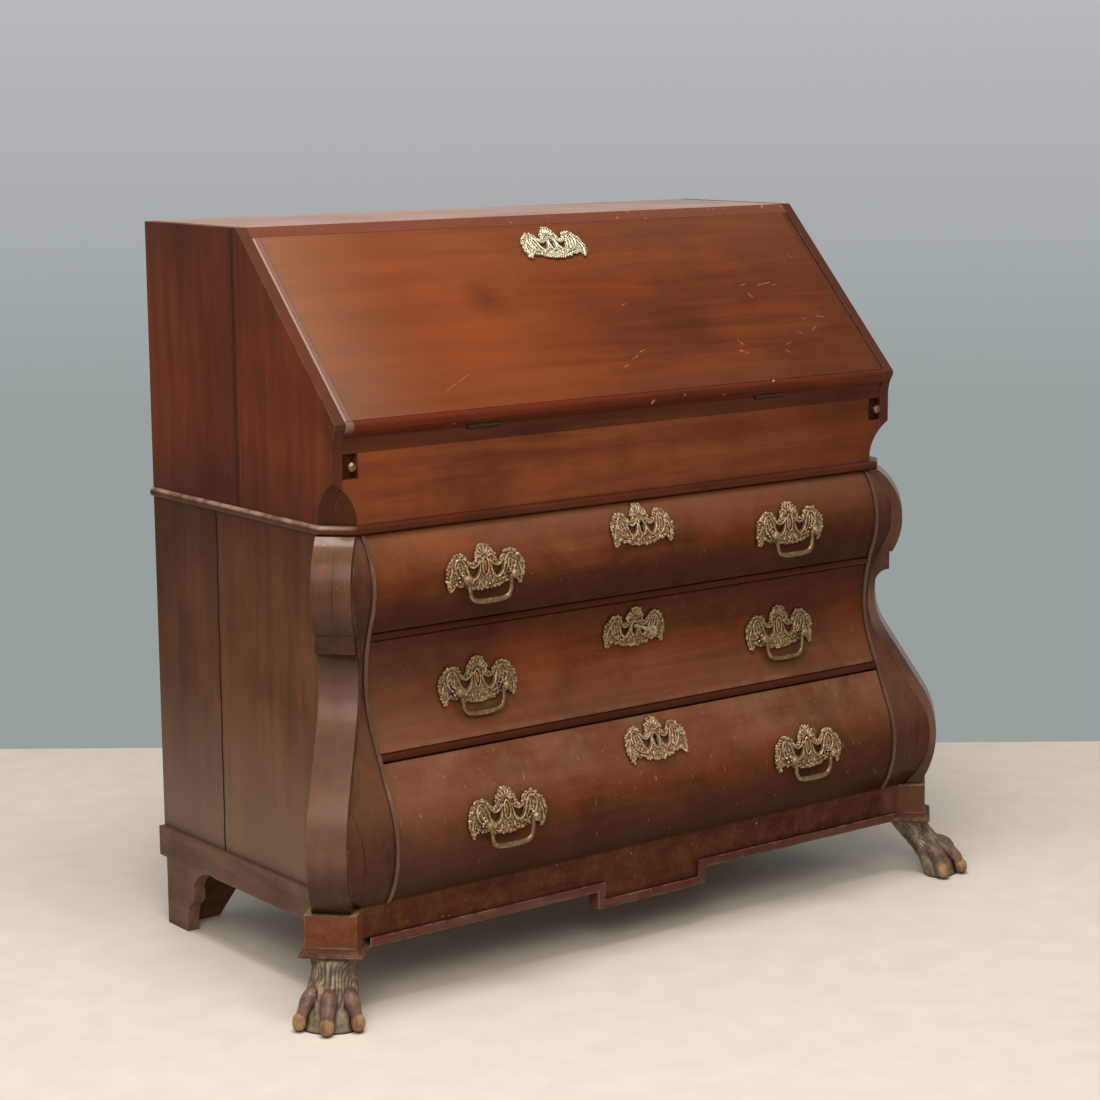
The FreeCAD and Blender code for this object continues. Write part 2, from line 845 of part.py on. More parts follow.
def waist():
    """A rounded moulding round three sides, and the board that it frames."""
    outer = half_width + s.waist_proud
    face = s.case_depth + s.waist_proud
    inside = outer - s.waist_width
    inside_face = face - s.waist_width
    inside_cant = s.waist_cant - s.waist_width * (2 - ROOT_2)
    half_plan = (
        (outer, as_size(0)), (outer, face - s.waist_cant), (outer - s.waist_cant, face),
    )
    half_inside = (
        (inside - inside_cant, inside_face), (inside, inside_face - inside_cant), (inside, as_size(0)),
    )
    corners = [(-x, depth) for x, depth in half_plan] + [(x, depth) for x, depth in reversed(half_plan)]
    corners += [(x, depth) for x, depth in reversed(half_inside)]
    corners += [(-x, depth) for x, depth in half_inside]
    moulding = plan_prism("waist_moulding", corners, (waist_bottom, s.waist_height))
    doc.recompute()
    pad = moulding.Tip
    outside = []
    for index, edge in enumerate(pad.Shape.Edges, start=1):
        middle = edge.CenterOfMass
        level = abs(edge.Vertexes[0].Z - edge.Vertexes[-1].Z) < 1e-6
        beyond_side = abs(middle.x) > inside.number + 1
        beyond_front = middle.y < front(inside_face).number - 1
        if level and edge.Length > 2 * s.waist_width.number / 3 and (beyond_side or beyond_front):
            if abs(middle.y - s.back_plane.number) > 1:
                outside.append(f"Edge{index}")
    rounding = moulding.newObject("PartDesign::Fillet", "waist_rounding_fillet")
    rounding.Base = (pad, outside)
    bind(rounding, "Radius", s.waist_rounding)
    moulding.Tip = rounding
    node("waist_moulding", moulding)
    corners = [(-inside, as_size(0))]
    corners += [(-x, depth) for x, depth in reversed(half_inside[:2])]
    corners += list(half_inside[:2])
    corners.append((inside, as_size(0)))
    node("waist_board", plan_prism("waist_board_form", corners, (waist_bottom, s.waist_height)))


def plinth():
    low = s.plinth_board_bottom
    top = s.plinth_height
    face = plinth_front_depth
    back_face = face - s.plinth_thickness
    half_apron = s.apron_width / 2
    dropped = low - s.apron_drop
    wide = inner_cheek(face + s.lip_proud, s.block_width)
    corners = (
        (-wide, low), (-half_apron, low), (-half_apron, dropped), (half_apron, dropped),
        (half_apron, low), (wide, low), (wide, top), (-wide, top),
    )
    slab = front_outline("plinth_front_slab", corners, (back_face, face))
    node("plinth_front", common("plinth_front_board", slab, between_blocks("plinth_front_ends", s.block_width)))
    lip = s.lip_height
    step = half_apron + lip
    band = (
        (-wide, low), (-half_apron, low), (-half_apron, dropped), (half_apron, dropped),
        (half_apron, low), (wide, low), (wide, low - lip), (step, low - lip), (step, dropped - lip),
        (-step, dropped - lip), (-step, low - lip), (-wide, low - lip),
    )
    strip = front_outline("plinth_lip_band", band, (back_face, face + s.lip_proud))
    ends = between_blocks("plinth_lip_ends", s.block_width + 2 * s.collar_spread)
    lip_moulding = common("plinth_lip", strip, ends)
    collar = corner_collar()
    node("plinth_lower_mouldings", lip_moulding, collar, mirrored("collar_right", collar))
    block = board(
        "corner_block_left", across(s.block_width / 2), (-s.block_reach, s.block_back), (low, top)
    )
    at_corner_base(block, -s.block_width / 2, -s.block_reach, low)
    node("plinth_corner_blocks", block, mirrored("corner_block_right", block))
    for side in ("left", "right"):
        node(f"plinth_side_{side}", plinth_side(side))
    node("plinth_back", plinth_back())


def at_corner_base(thing, along, out, height):
    """Place a piece that faces -Y by its own low corner in the left front corner's frame."""
    thing.Placement = FreeCAD.Placement(FreeCAD.Vector(), FreeCAD.Rotation(FreeCAD.Vector(0, 0, 1), -45))
    x = (along + out) / ROOT_2 - half_width
    y = (out - along) / ROOT_2 + front(s.case_depth)
    return move(thing, x, y, height)


def between_blocks(label, width):
    """A prism whose bevelled ends lie on the inner cheeks of the two corner blocks."""
    near = s.case_depth - s.plinth_thickness
    far = plinth_front_depth + s.plinth_thickness
    corners = (
        (-inner_cheek(near, width), near), (-inner_cheek(far, width), far),
        (inner_cheek(far, width), far), (inner_cheek(near, width), near),
    )
    return plan_prism(label, corners, (as_size(0), s.plinth_height))


def corner_collar():
    """The moulding under a corner block: a hollow above a rounded edge."""
    bottom = s.plinth_board_bottom - s.collar_height
    hollow = s.collar_height - s.collar_edge
    levels = (
        (0, 0.75), (0.5, 1), (1, 0.75),
    )
    sections = [(bottom + s.collar_edge * up, s.collar_spread * out) for up, out in levels]
    sections += [
        (bottom + s.collar_edge + hollow * up, s.collar_spread * out)
        for up, out in ((0.05, 0.4), (0.5, 0.12), (1, 0))
    ]
    outlines = []
    for height, spread in sections:
        side = s.block_width / 2 + spread
        reach = s.block_reach + spread
        corners = ((-side, -reach), (side, -reach), (side, s.block_back), (-side, s.block_back))
        outlines.append((height, corners))
    return at_corner(stacked("collar_left", outlines))


def plinth_side(side):
    """A side board that ends in a scrolled bracket foot at the back."""
    outer = half_width + s.plinth_side_proud
    inner = outer - s.plinth_thickness
    low = s.plinth_board_bottom
    heel = s.bracket_ear
    toe = heel + s.bracket_toe
    corners = (
        (as_size(0), low), (heel, low), (heel, as_size(0)), (toe, as_size(0)),
        (toe + s.bracket_step_out, s.bracket_step_height, s.bracket_step_radius),
        (toe + s.bracket_lobe_out, s.bracket_lobe_height, -s.bracket_lobe_radius),
        (toe + s.bracket_tip_out, low, s.bracket_tip_radius),
        (s.case_depth, low), (s.case_depth, s.plinth_height), (as_size(0), s.plinth_height),
    )
    x = (-outer, -inner) if side == "left" else (inner, outer)
    slab = side_profile(f"plinth_{side}_slab", corners, x)
    sign = -1 if side == "left" else 1
    near = outer_cheek(inner, s.block_width)
    far = outer_cheek(outer, s.block_width)
    ends = ((sign * outer, as_size(0)), (sign * inner, as_size(0)), (sign * inner, near), (sign * outer, far))
    return common(f"plinth_{side}_board", slab, plan_prism(f"plinth_{side}_end", ends, (as_size(0), s.plinth_height)))


def plinth_back():
    """A plain board between the side boards, with a bracket foot at each end."""
    half = half_width + s.plinth_side_proud - s.plinth_thickness
    low = s.plinth_board_bottom
    foot = half - s.bracket_toe
    inside = foot - s.bracket_tip_out
    corners = (
        (-half, as_size(0)), (-foot, as_size(0)), (-inside, low), (inside, low), (foot, as_size(0)),
        (half, as_size(0)), (half, s.plinth_height), (-half, s.plinth_height),
    )
    return front_outline("plinth_back_board", corners, (s.bracket_ear, s.bracket_ear + s.plinth_thickness))


def paw_feet():
    """A leg that swells out along the diagonal into three knuckled toes, flat on the floor."""
    top = s.plinth_board_bottom - s.collar_height
    levels = (
        (as_size(0), s.sole_reach, s.sole_width, s.sole_depth),
        (s.instep_height, s.instep_reach, s.instep_width, s.instep_depth),
        (s.shin_height, s.shin_reach, s.shin_width, s.shin_depth),
        (top, s.ankle_reach, s.ankle_width, s.ankle_depth),
    )
    leg = stacked("paw_leg", [
        (height, oval(as_size(0), reach, width, depth, PAW_SIDES)) for height, reach, width, depth in levels
    ])
    toes = []
    levels = (
        (as_size(0), s.claw_foot_reach, s.claw_foot_width, 1),
        (s.claw_height, s.claw_reach, s.claw_width, 1),
        (s.toe_joint_height, s.toe_joint_reach, s.toe_joint_width, 0.8),
        (s.toe_knuckle_height, s.toe_knuckle_reach, s.toe_knuckle_width, 0.5),
        (s.toe_root_height, s.toe_root_reach, s.toe_root_width, 0),
    )
    splay = s.toe_tip_spread - s.toe_root_spread
    for count, place in enumerate((-1, 0, 1)):
        lead = s.middle_toe_lead if place == 0 else as_size(0)
        rings = []
        for height, reach, width, share in levels:
            middle = (s.toe_root_spread + splay * share) * place
            depth = s.toe_depth * width / s.claw_width
            rings.append((height, oval(middle, reach + lead, width, depth, TOE_SIDES)))
        toes.append(stacked(f"paw_toe_{count}", rings))
    left = at_corner(fuse("paw_left", leg, *toes))
    node("paw_foot_left", left)
    node("paw_foot_right", mirrored("paw_right", left))


def up_slant(along, out):
    """Depth and height of a point up the fall from its hinge axis and out from its inner face."""
    depth = s.case_depth - along * slant_run / slant_length + out * slant_rise / slant_length
    height = fall_axis_height + along * slant_rise / slant_length + out * slant_run / slant_length
    return depth, height


def slant_board(label, x, along, out):
    """A squared board lying on the slope of the fall."""
    box = add("Part::Box", label)
    for side, (low, high) in zip(("Length", "Width", "Height"), (x, along, out)):
        bind(box, side, as_size(high) - low)
    turn(box, (1, 0, 0), slant_angle)
    depth, height = up_slant(as_size(along[0]), as_size(out[0]))
    return move(box, x[0], front(depth), height)


def upper_case():
    top = s.case_height
    cove = slant_foot_depth - s.case_depth
    cove_rise = nose_bottom - cove_bottom
    cove_radius = (square(cove) + square(cove_rise)) / (2 * cove)
    joint = upper_joint_depth
    corners = (
        (joint, s.waist_height), (s.case_depth, s.waist_height), (s.case_depth, cove_bottom),
        (slant_foot_depth, nose_bottom, cove_radius), (slant_foot_depth, slant_foot_height),
        (s.top_depth, top), (joint, top),
    )
    cutter = chamfer_cutter()
    for side, x in (("left", (-half_width, -inner_half)), ("right", (inner_half, half_width))):
        rear = board(f"upper_{side}_rear", x, span(as_size(0), joint), (s.waist_height, top))
        fore = side_profile(f"upper_{side}_fore", corners, x)
        corner = cutter if side == "left" else mirrored("chamfer_right", cutter)
        node(f"upper_side_{side}", rear, cut(f"upper_{side}_front", fore, corner))
    planks("upper_back_planks", s.waist_height, top - s.top_thickness)
    lid_top = fall_length + s.running_clearance
    edge_out = up_slant(lid_top, s.fall_thickness)
    edge_in = up_slant(lid_top, as_size(0))
    share = (edge_out[1] - (top - s.top_thickness)) / (edge_out[1] - edge_in[1])
    under = edge_out[0] - (edge_out[0] - edge_in[0]) * share
    corners = (
        (as_size(0), top - s.top_thickness), (under, top - s.top_thickness), edge_out,
        (s.top_depth, top), (as_size(0), top),
    )
    node("top_board", side_profile("top_board_form", corners, across(inner_half)))
    return cutter


def chamfer_cutter():
    """The hollow that stops the canted corner of the upper case under the loper."""
    rise = chamfer_tip_height - chamfer_start
    radius = (square(rise) + square(s.chamfer_setback)) / (2 * s.chamfer_setback)
    outside = -s.chamfer_setback
    below = s.waist_height - s.waist_thickness
    corners = (
        (as_size(0), chamfer_tip_height), (outside, chamfer_tip_height), (outside, below),
        (s.chamfer_setback, below), (s.chamfer_setback, chamfer_start),
        (as_size(0), chamfer_tip_height, radius),
    )
    corners = corners[:-1]
    body = add("PartDesign::Body", "chamfer_left")
    outline = draw(sketch_on(body, "YZ_Plane", "chamfer_outline"), ((*corners[0], radius), *corners[1:]))
    pad = body.newObject("PartDesign::Pad", "chamfer_pad")
    pad.Profile = outline
    bind(pad, "Length", 4 * s.chamfer_setback)
    pad.SideType = "Symmetric"
    return at_corner(body)


def desk(cutter):
    """Writing board with its well, the false panel in front and the loper tracks at the ends."""
    top = desk_height
    low = top - s.desk_thickness
    well_half = s.well_width / 2
    face = s.case_depth - s.seat_gap
    back = s.back_thickness
    slot_floor = top - s.well_cover_thickness - 2 * s.seat_gap
    rail = board("desk_front", across(inner_half), span(well_front_depth, face), (low, top))
    rail = cut("desk_front_board", rail, *hinge_recesses("desk"))
    pieces = [rail]
    for name, x in (("left", (-inner_half, -well_half)), ("right", (well_half, inner_half))):
        pieces.append(board(f"desk_{name}", x, span(back, well_front_depth), (low, top)))
    pieces.append(board("desk_rear", across(well_half), span(back, well_back_depth), (low, slot_floor)))
    node("writing_board", *pieces)
    panel_half = inner_half - s.loper_bay
    panel_back = s.case_depth - s.false_panel_thickness
    depth = span(panel_back, s.case_depth)
    node("false_panel", board("false_panel_board", across(panel_half), depth, (s.waist_height, low)))
    loper_floor = low - s.loper_height
    fillers = []
    for name, sign in (("left", -1), ("right", 1)):
        x = (-inner_half, -panel_half) if sign < 0 else (panel_half, inner_half)
        start = s.case_depth - s.loper_filler_depth
        block = board(f"filler_{name}_block", x, span(start, s.case_depth), (s.waist_height, loper_floor))
        corner = cutter if sign < 0 else mirrored("filler_chamfer_right", cutter)
        fillers.append(cut(f"filler_{name}", block, corner))
        runner = board(f"loper_runner_{name}", x, span(back, start), (loper_floor - s.loper_runner, loper_floor))
        fillers.append(runner)
    node("loper_fillers", *fillers)
    walls = []
    for name, sign in (("left", -1), ("right", 1)):
        guide = (-panel_half, s.loper_guide - panel_half) if sign < 0 else (panel_half - s.loper_guide, panel_half)
        walls.append(board(f"loper_guide_{name}", guide, span(back, panel_back), (s.waist_height, low)))
        wall = (-well_half, s.well_wall - well_half) if sign < 0 else (well_half - s.well_wall, well_half)
        depth = span(well_back_depth, well_front_depth)
        walls.append(board(f"well_wall_{name}", wall, depth, (s.waist_height, slot_floor)))
        depth = span(well_front_depth, panel_back)
        walls.append(board(f"well_wall_front_{name}", wall, depth, (s.waist_height, low)))
    depth = span(well_back_depth - s.well_wall, well_back_depth)
    walls.append(board("well_wall_rear", across(well_half), depth, (s.waist_height, low)))
    node("well_walls", *walls)
    depth = span(well_back_depth + s.running_clearance, well_front_depth - s.running_clearance)
    cover_low = slot_floor + s.seat_gap
    node("well_cover", board(
        "well_cover_board", across(well_half - s.running_clearance), depth,
        (cover_low, cover_low + s.well_cover_thickness),
    ))
    lopers(loper_floor, low, panel_half)


def lopers(floor, ceiling, panel_half):
    """Sliding supports for the open fall, each with a small brass pull."""
    end = s.case_depth - s.loper_recess
    x = s.running_clearance - inner_half, -panel_half - s.running_clearance
    z = floor + s.seat_gap, ceiling - s.seat_gap
    bar = board("loper_left", x, span(end - s.loper_length, end), z)
    node("loper_left", bar)
    node("loper_right", mirrored("loper_right", bar))
    middle = (x[0] + x[1]) / 2
    height = (z[0] + z[1]) / 2
    outline = knob_outline(s.loper_knob_reach, s.loper_knob_radius, s.loper_knob_stem, s.loper_knob_head)
    knob = move(turned("loper_knob_left", outline), middle, front(end), height)
    node("loper_knob_left", knob)
    node("loper_knob_right", mirrored("loper_knob_right", knob))


def hinge_recesses(owner):
    """Room in the writing board or the fall for the knuckles and the leaf of each hinge."""
    tools = []
    width = s.hinge_width + 2 * s.hinge_play
    for name, sign in (("left", -1), ("right", 1)):
        middle = s.hinge_spacing / 2 * sign
        knuckle = rod(f"{owner}_knuckle_room_{name}", s.hinge_radius + s.hinge_play, width, "x")
        move(knuckle, middle - width / 2, front(s.case_depth), fall_axis_height)
        tools.append(knuckle)
        x = middle - width / 2, middle + width / 2
        if owner == "desk":
            low = desk_height - s.hinge_leaf_thickness - s.hinge_play / 4
            depth = span(s.case_depth - s.hinge_leaf - s.hinge_play, s.case_depth)
            tools.append(board(f"desk_leaf_room_{name}", x, depth, (low, fall_axis_height)))
        else:
            along = as_size(0), s.hinge_leaf + s.hinge_play
            out = as_size(0), s.hinge_leaf_thickness + s.hinge_play / 4
            tools.append(slant_board(f"{owner}_leaf_room_{name}", x, along, out))
    return tools


def fall_hinges():
    """Butt hinges: the writing board carries the outer knuckles and the pin, the fall the middle one."""
    desk_leaves = []
    fall_leaves = []
    half = s.hinge_width / 2
    middle_half = s.hinge_middle / 2
    for name, sign in (("left", -1), ("right", 1)):
        centre = s.hinge_spacing / 2 * sign
        top = desk_height
        z = top - s.hinge_leaf_thickness, top
        clear = s.hinge_radius + 2 * s.hinge_play
        leaf = board(
            f"desk_leaf_{name}", (centre - half, centre + half),
            span(s.case_depth - s.hinge_leaf, s.case_depth - clear), z,
        )
        pieces = [leaf]
        for end, x in (
            ("a", (centre - half, centre - middle_half)),
            ("b", (centre + middle_half, centre + half)),
        ):
            tongue = board(f"desk_tongue_{name}_{end}", x, span(s.case_depth - clear, s.case_depth), z)
            knuckle = rod(f"desk_knuckle_{name}_{end}", s.hinge_radius, x[1] - x[0], "x")
            move(knuckle, x[0], front(s.case_depth), fall_axis_height)
            pieces += [tongue, knuckle]
        pin = rod(f"hinge_pin_{name}", s.hinge_pin_radius, s.hinge_width, "x")
        move(pin, centre - half, front(s.case_depth), fall_axis_height)
        desk_leaves.append(fuse(f"desk_hinge_{name}", *pieces, pin))
        inset = middle_half - s.hinge_play
        plate = slant_board(
            f"fall_leaf_{name}", (centre - half, centre + half), (clear, s.hinge_leaf),
            (as_size(0), s.hinge_leaf_thickness),
        )
        tongue = slant_board(
            f"fall_tongue_{name}", (centre - inset, centre + inset), (as_size(0), clear),
            (as_size(0), s.hinge_leaf_thickness),
        )
        knuckle = rod(f"fall_knuckle_{name}", s.hinge_radius, 2 * inset, "x")
        move(knuckle, centre - inset, front(s.case_depth), fall_axis_height)
        bore = rod(f"fall_bore_{name}", s.hinge_pin_radius + s.hinge_play / 4, s.hinge_width, "x")
        move(bore, centre - half, front(s.case_depth), fall_axis_height)
        fall_leaves.append(cut(f"fall_hinge_{name}", fuse(f"fall_hinge_{name}_solid", plate, tongue, knuckle), bore))
    node("desk_hinge_leaves", *desk_leaves)
    node("fall_hinge_leaves", *fall_leaves)


def fall():
    """The slanted writing flap: a panel, a rounded bottom nosing and a bead worked on each end."""
    thick = s.fall_thickness
    edge = inner_half - s.running_clearance
    panel_half = edge - s.fall_bead_width
    pin_hole = rod("fall_pin_hole", s.keyhole_radius, 2 * thick)
    turn(pin_hole, (1, 0, 0), slant_angle)
    depth, height = up_slant(fall_keyhole_reach, -thick / 2)
    move(pin_hole, 0, front(depth), height)
    slot = slant_board(
        "fall_key_slot", across(s.keyhole_slot_width / 2),
        (fall_keyhole_reach - s.keyhole_slot_length, fall_keyhole_reach), (-thick / 2, thick * 1.5),
    )
    bore = fuse("fall_keyhole", pin_hole, slot)
    lock_low = fall_keyhole_reach - s.lock_below
    lock_high = fall_keyhole_reach + s.lock_above
    play = s.seat_gap
    mortise = slant_board(
        "fall_lock_mortise", across(s.lock_width / 2 + play), (lock_low - play, lock_high + play),
        (as_size(0), s.fall_lock_depth + play),
    )
    panel = slant_board("fall_board", across(panel_half), (s.fall_nosing, fall_length), (as_size(0), thick))
    node("fall_panel", cut("fall_panel", panel, bore, mortise, *hinge_recesses("panel")))
    low = s.fall_nosing_round
    soft = s.fall_bead_round
    corners = (
        (as_size(0), as_size(0)), (s.fall_nosing, as_size(0)), (s.fall_nosing, thick - soft / 4),
        (s.fall_nosing - soft / 4, thick), (low, thick), (as_size(0), thick - low, low * 1.0001),
    )
    nosing = padded("fall_nosing_bar", "YZ_Plane", corners, 2 * edge, both_ways=True)
    turn(nosing, (1, 0, 0), slant_angle)
    move(nosing, 0, front(s.case_depth), fall_axis_height)
    nosing = cut("fall_nosing", nosing, *hinge_recesses("nosing"))
    length = fall_length - s.fall_nosing
    corners = (
        (-edge, as_size(0)), (-panel_half, as_size(0)), (-panel_half, thick), (soft - edge, thick),
        (-edge, thick - soft, soft * 1.0001),
    )
    bead = padded("fall_bead_left", "XZ_Plane", corners, length, backwards=True)
    turn(bead, (1, 0, 0), slant_angle)
    depth, height = up_slant(s.fall_nosing, as_size(0))
    move(bead, 0, front(depth), height)
    node("fall_mouldings", nosing, bead, mirrored("fall_bead_right", bead))
    case = slant_board(
        "fall_lock_case", across(s.lock_width / 2), (lock_low, lock_high), (as_size(0), s.fall_lock_depth),
    )
    node("fall_lock", cut("fall_lock", case, bore))
    plate = padded(
        "fall_escutcheon_plate", "XY_Plane", cartouche(s.escutcheon_width, s.escutcheon_height),
        s.plate_thickness, holes=piercings(s.escutcheon_width, s.escutcheon_height),
    )
    turn(plate, (1, 0, 0), slant_angle)
    depth, height = up_slant(fall_keyhole_reach, thick)
    move(plate, 0, front(depth), height)
    node("fall_escutcheon", cut("fall_escutcheon", plate, bore))
    stops = []
    for name, sign in (("left", -1), ("right", 1)):
        x = (-inner_half, s.fall_stop - inner_half) if sign < 0 else (inner_half - s.fall_stop, inner_half)
        stops.append(slant_board(
            f"fall_stop_{name}", x, (s.fall_stop_low, fall_stop_high), (-s.fall_stop, -s.seat_gap),
        ))
    node("fall_stops", *stops)


def cartouche(width, height):
    """Outline of a cast plate: a shell crest, two leafy wings with tails and a rounded belly."""
    half = width / 2
    right = (
        (0.0, 0.50, 0.0), (0.17, 0.38, 0.70), (0.26, 0.16, 0.60), (0.36, 0.06, 0.0), (0.46, 0.20, 0.0),
        (0.63, 0.32, 0.65), (0.86, 0.20, 0.65), (1.0, -0.06, 0.60), (0.97, -0.36, 0.40), (0.89, -0.50, 0.60),
        (0.77, -0.33, 0.0), (0.52, -0.38, 0.60), (0.26, -0.47, 0.55), (0.0, -0.50, 0.40),
    )
    points = [(half * x, height * y) for x, y, _ in right]
    points += [(-half * x, height * y) for x, y, _ in reversed(right[1:-1])]
    bows = [bow for _, _, bow in right[1:]] + [bow for _, _, bow in reversed(right[1:])]
    return bowed(points, bows)


def bowed(points, bows):
    """Join points by arcs; a bow is half the chord over the radius, below zero for a hollow, zero straight."""
    corners = []
    for index, point in enumerate(points):
        before = points[index - 1]
        bow = bows[index - 1]
        if not bow:
            corners.append(point)
            continue
        chord = root(square(point[0] - before[0]) + square(point[1] - before[1]))
        corners.append((*point, -chord / (2 * bow)))
    return corners


def piercings(width, height):
    """Two crescents cut through a plate, one each side of its middle oval."""
    half = width / 2
    crescents = []
    for inner, outer in ((0.18, 0.44), (-0.44, -0.18)):
        ends = (half * inner, height * 0.02), (half * outer, height * 0.02)
        foot = half * (inner + outer) / 2, height * -0.22
        crescents.append(bowed((ends[0], foot, ends[1]), (-0.55, -0.55, 0.45)))
    return crescents


DRAWERS = (
    (1, rail_1_top, waist_bottom, bombe_depth(waist_bottom), waist_bottom - s.pull_1_drop, waist_bottom - s.keyhole_1_drop, as_size(0)),
    (2, rail_2_top, rail_1_bottom, s.case_depth, rail_1_bottom - s.pull_2_drop, rail_1_bottom - s.keyhole_2_drop, s.bail_2_tilt),
    (3, s.plinth_height, rail_2_bottom, bombe_depth(rail_2_bottom), rail_2_bottom - s.pull_3_drop, rail_2_bottom - s.keyhole_3_drop,
     as_size(0)),
)


def drawer(number, low, high, thinnest, pull_height, keyhole_height, tilt):
    name = f"drawer_{number}"
    gap = s.drawer_gap
    inner = thinnest - s.drawer_front_thickness
    width = opening_half - gap
    far = s.case_depth + 2 * s.bulge_depth
    block = board(f"{name}_front_block", across(width), span(inner, far), (low + gap, high - gap))
    pin_hole = rod(f"{name}_pin_hole", s.keyhole_radius, far - inner + s.lock_depth / 2, "y")
    move(pin_hole, 0, front(inner - s.lock_depth / 2), keyhole_height)
    slot = board(
        f"{name}_key_slot", across(s.keyhole_slot_width / 2), span(inner - s.lock_depth / 2, far),
        (keyhole_height - s.keyhole_slot_length, keyhole_height),
    )
    keyhole = fuse(f"{name}_keyhole", pin_hole, slot)
    node(f"{name}_front", cut(f"{name}_front", common(f"{name}_bombe", drawer_form, block), keyhole))
    drawer_box(name, low, high, inner)
    z = keyhole_height - s.lock_below, keyhole_height + s.lock_above
    case = board(f"{name}_lock_case", across(s.lock_width / 2), span(inner - s.lock_depth, inner), z)
    pocket = rod(f"{name}_lock_pocket", s.lock_pocket_radius, s.lock_pocket_depth, "y")
    move(pocket, 0, front(inner - s.lock_pocket_depth), keyhole_height)
    brasses = [cut(f"{name}_lock", case, pocket)]
    depths = thinnest, far
    size = s.escutcheon_width, s.escutcheon_height
    outline = front_outline(f"{name}_escutcheon_form", cartouche(*size), depths, piercings(*size))
    move(outline, 0, front(depths[0]), keyhole_height)
    brasses.append(cut(f"{name}_escutcheon", common(f"{name}_escutcheon_cast", plate_shell, outline), keyhole))
    axis_height = pull_height - s.post_drop
    axis_depth = bombe_depth(axis_height) + s.seat_gap + s.plate_thickness + s.post_reach
    for side, sign in (("left", -1), ("right", 1)):
        middle = s.pull_spacing / 2 * sign
        size = s.plate_width, s.plate_height
        form = front_outline(f"{name}_{side}_plate_form", cartouche(*size), depths, piercings(*size))
        move(form, middle, front(depths[0]), pull_height)
        pieces = [common(f"{name}_{side}_plate", plate_shell, form)]
        for end in (-1, 1):
            place = middle + s.post_spacing / 2 * end
            tag = f"{name}_{side}_{'inner' if end == -sign else 'outer'}"
            foot = s.post_reach + s.plate_thickness / 2
            post = turned(f"{tag}_post", post_outline(foot))
            pieces.append(move(post, place, front(axis_depth - foot), axis_height))
        bore = rod(f"{name}_{side}_bore", s.bail_wire_radius + s.bail_bore_gap, s.plate_width, "x")
        move(bore, middle - s.plate_width / 2, front(axis_depth), axis_height)
        brasses.append(cut(f"{name}_{side}_pull", fuse(f"{name}_{side}_pull_solid", *pieces), bore))
        bail(f"{name}_bail_{side}", middle, axis_depth, axis_height, tilt)
    node(f"{name}_mounts", *brasses)
    return keyhole_height, inner


def post_outline(foot):
    """Half outline of a cast post: a stem, a round eye for the bail and a small button."""
    eye = s.post_radius
    return (
        (as_size(0), as_size(0)), (as_size(0), s.post_stem_radius), (foot - eye, s.post_stem_radius),
        (foot - eye * 0.6, eye), (foot + eye * 0.6, eye), (foot + eye, eye * 0.7),
        (foot + eye + s.post_button * 0.4, eye * 0.3), (foot + eye + s.post_button, eye * 0.3),
        (foot + eye + s.post_button, as_size(0)),
    )


def drawer_box(name, low, high, inner):
    """Sides, back and bottom behind a drawer front, open at the top."""
    outer = opening_half - s.drawer_side_clearance
    side = s.drawer_side_thickness
    floor = low + s.seat_gap
    rim = high - s.drawer_headroom
    back = s.back_thickness + s.drawer_back_room
    inside = outer - side
    bottom = floor + s.drawer_bottom_thickness / 2, floor + s.drawer_bottom_thickness * 1.5
    node(
        f"{name}_box",
        board(f"{name}_side_left", (-outer, -inside), span(back, inner), (floor, rim)),
        board(f"{name}_side_right", (inside, outer), span(back, inner), (floor, rim)),
        board(f"{name}_bottom", across(inside), span(back, inner), bottom),
        board(f"{name}_back", across(inside), span(back, back + side), (bottom[1], rim)),
    )


def bail(label, middle, axis_depth, axis_height, tilt):
    """A drop handle bent from one bar, its ends turned out into the two posts."""
    wire = s.bail_wire_radius
    end = s.post_spacing / 2 + wire
    knee = s.post_spacing / 2 - s.post_radius + wire / 2 - s.bail_elbow - wire / 2
    corner = s.bail_corner
    path = (
        (-end, 0), (-knee - s.bail_elbow, 0), (-knee, -s.bail_elbow, -s.bail_elbow),
        (-knee, corner - s.bail_drop), (corner - knee, -s.bail_drop, corner),
        (knee - corner, -s.bail_drop), (knee, corner - s.bail_drop, corner),
        (knee, -s.bail_elbow), (knee + s.bail_elbow, 0, -s.bail_elbow), (end, 0),
    )
    body = add("PartDesign::Body", label)
    spine = draw(sketch_on(body, "XZ_Plane", f"{label}_spine"), path, closed=False)
    section = sketch_on(body, "YZ_Plane", f"{label}_section")
    section.setExpression("AttachmentOffset.Base.z", (-end).text)
    draw(section, oval(as_size(0), as_size(0), 2 * wire, 2 * wire, BAIL_SIDES))
    pipe = body.newObject("PartDesign::AdditivePipe", f"{label}_pipe")
    pipe.Profile = section
    pipe.Spine = spine
    turn(body, (-1, 0, 0), tilt)
    move(body, middle, front(axis_depth), axis_height)
    node(label, body)


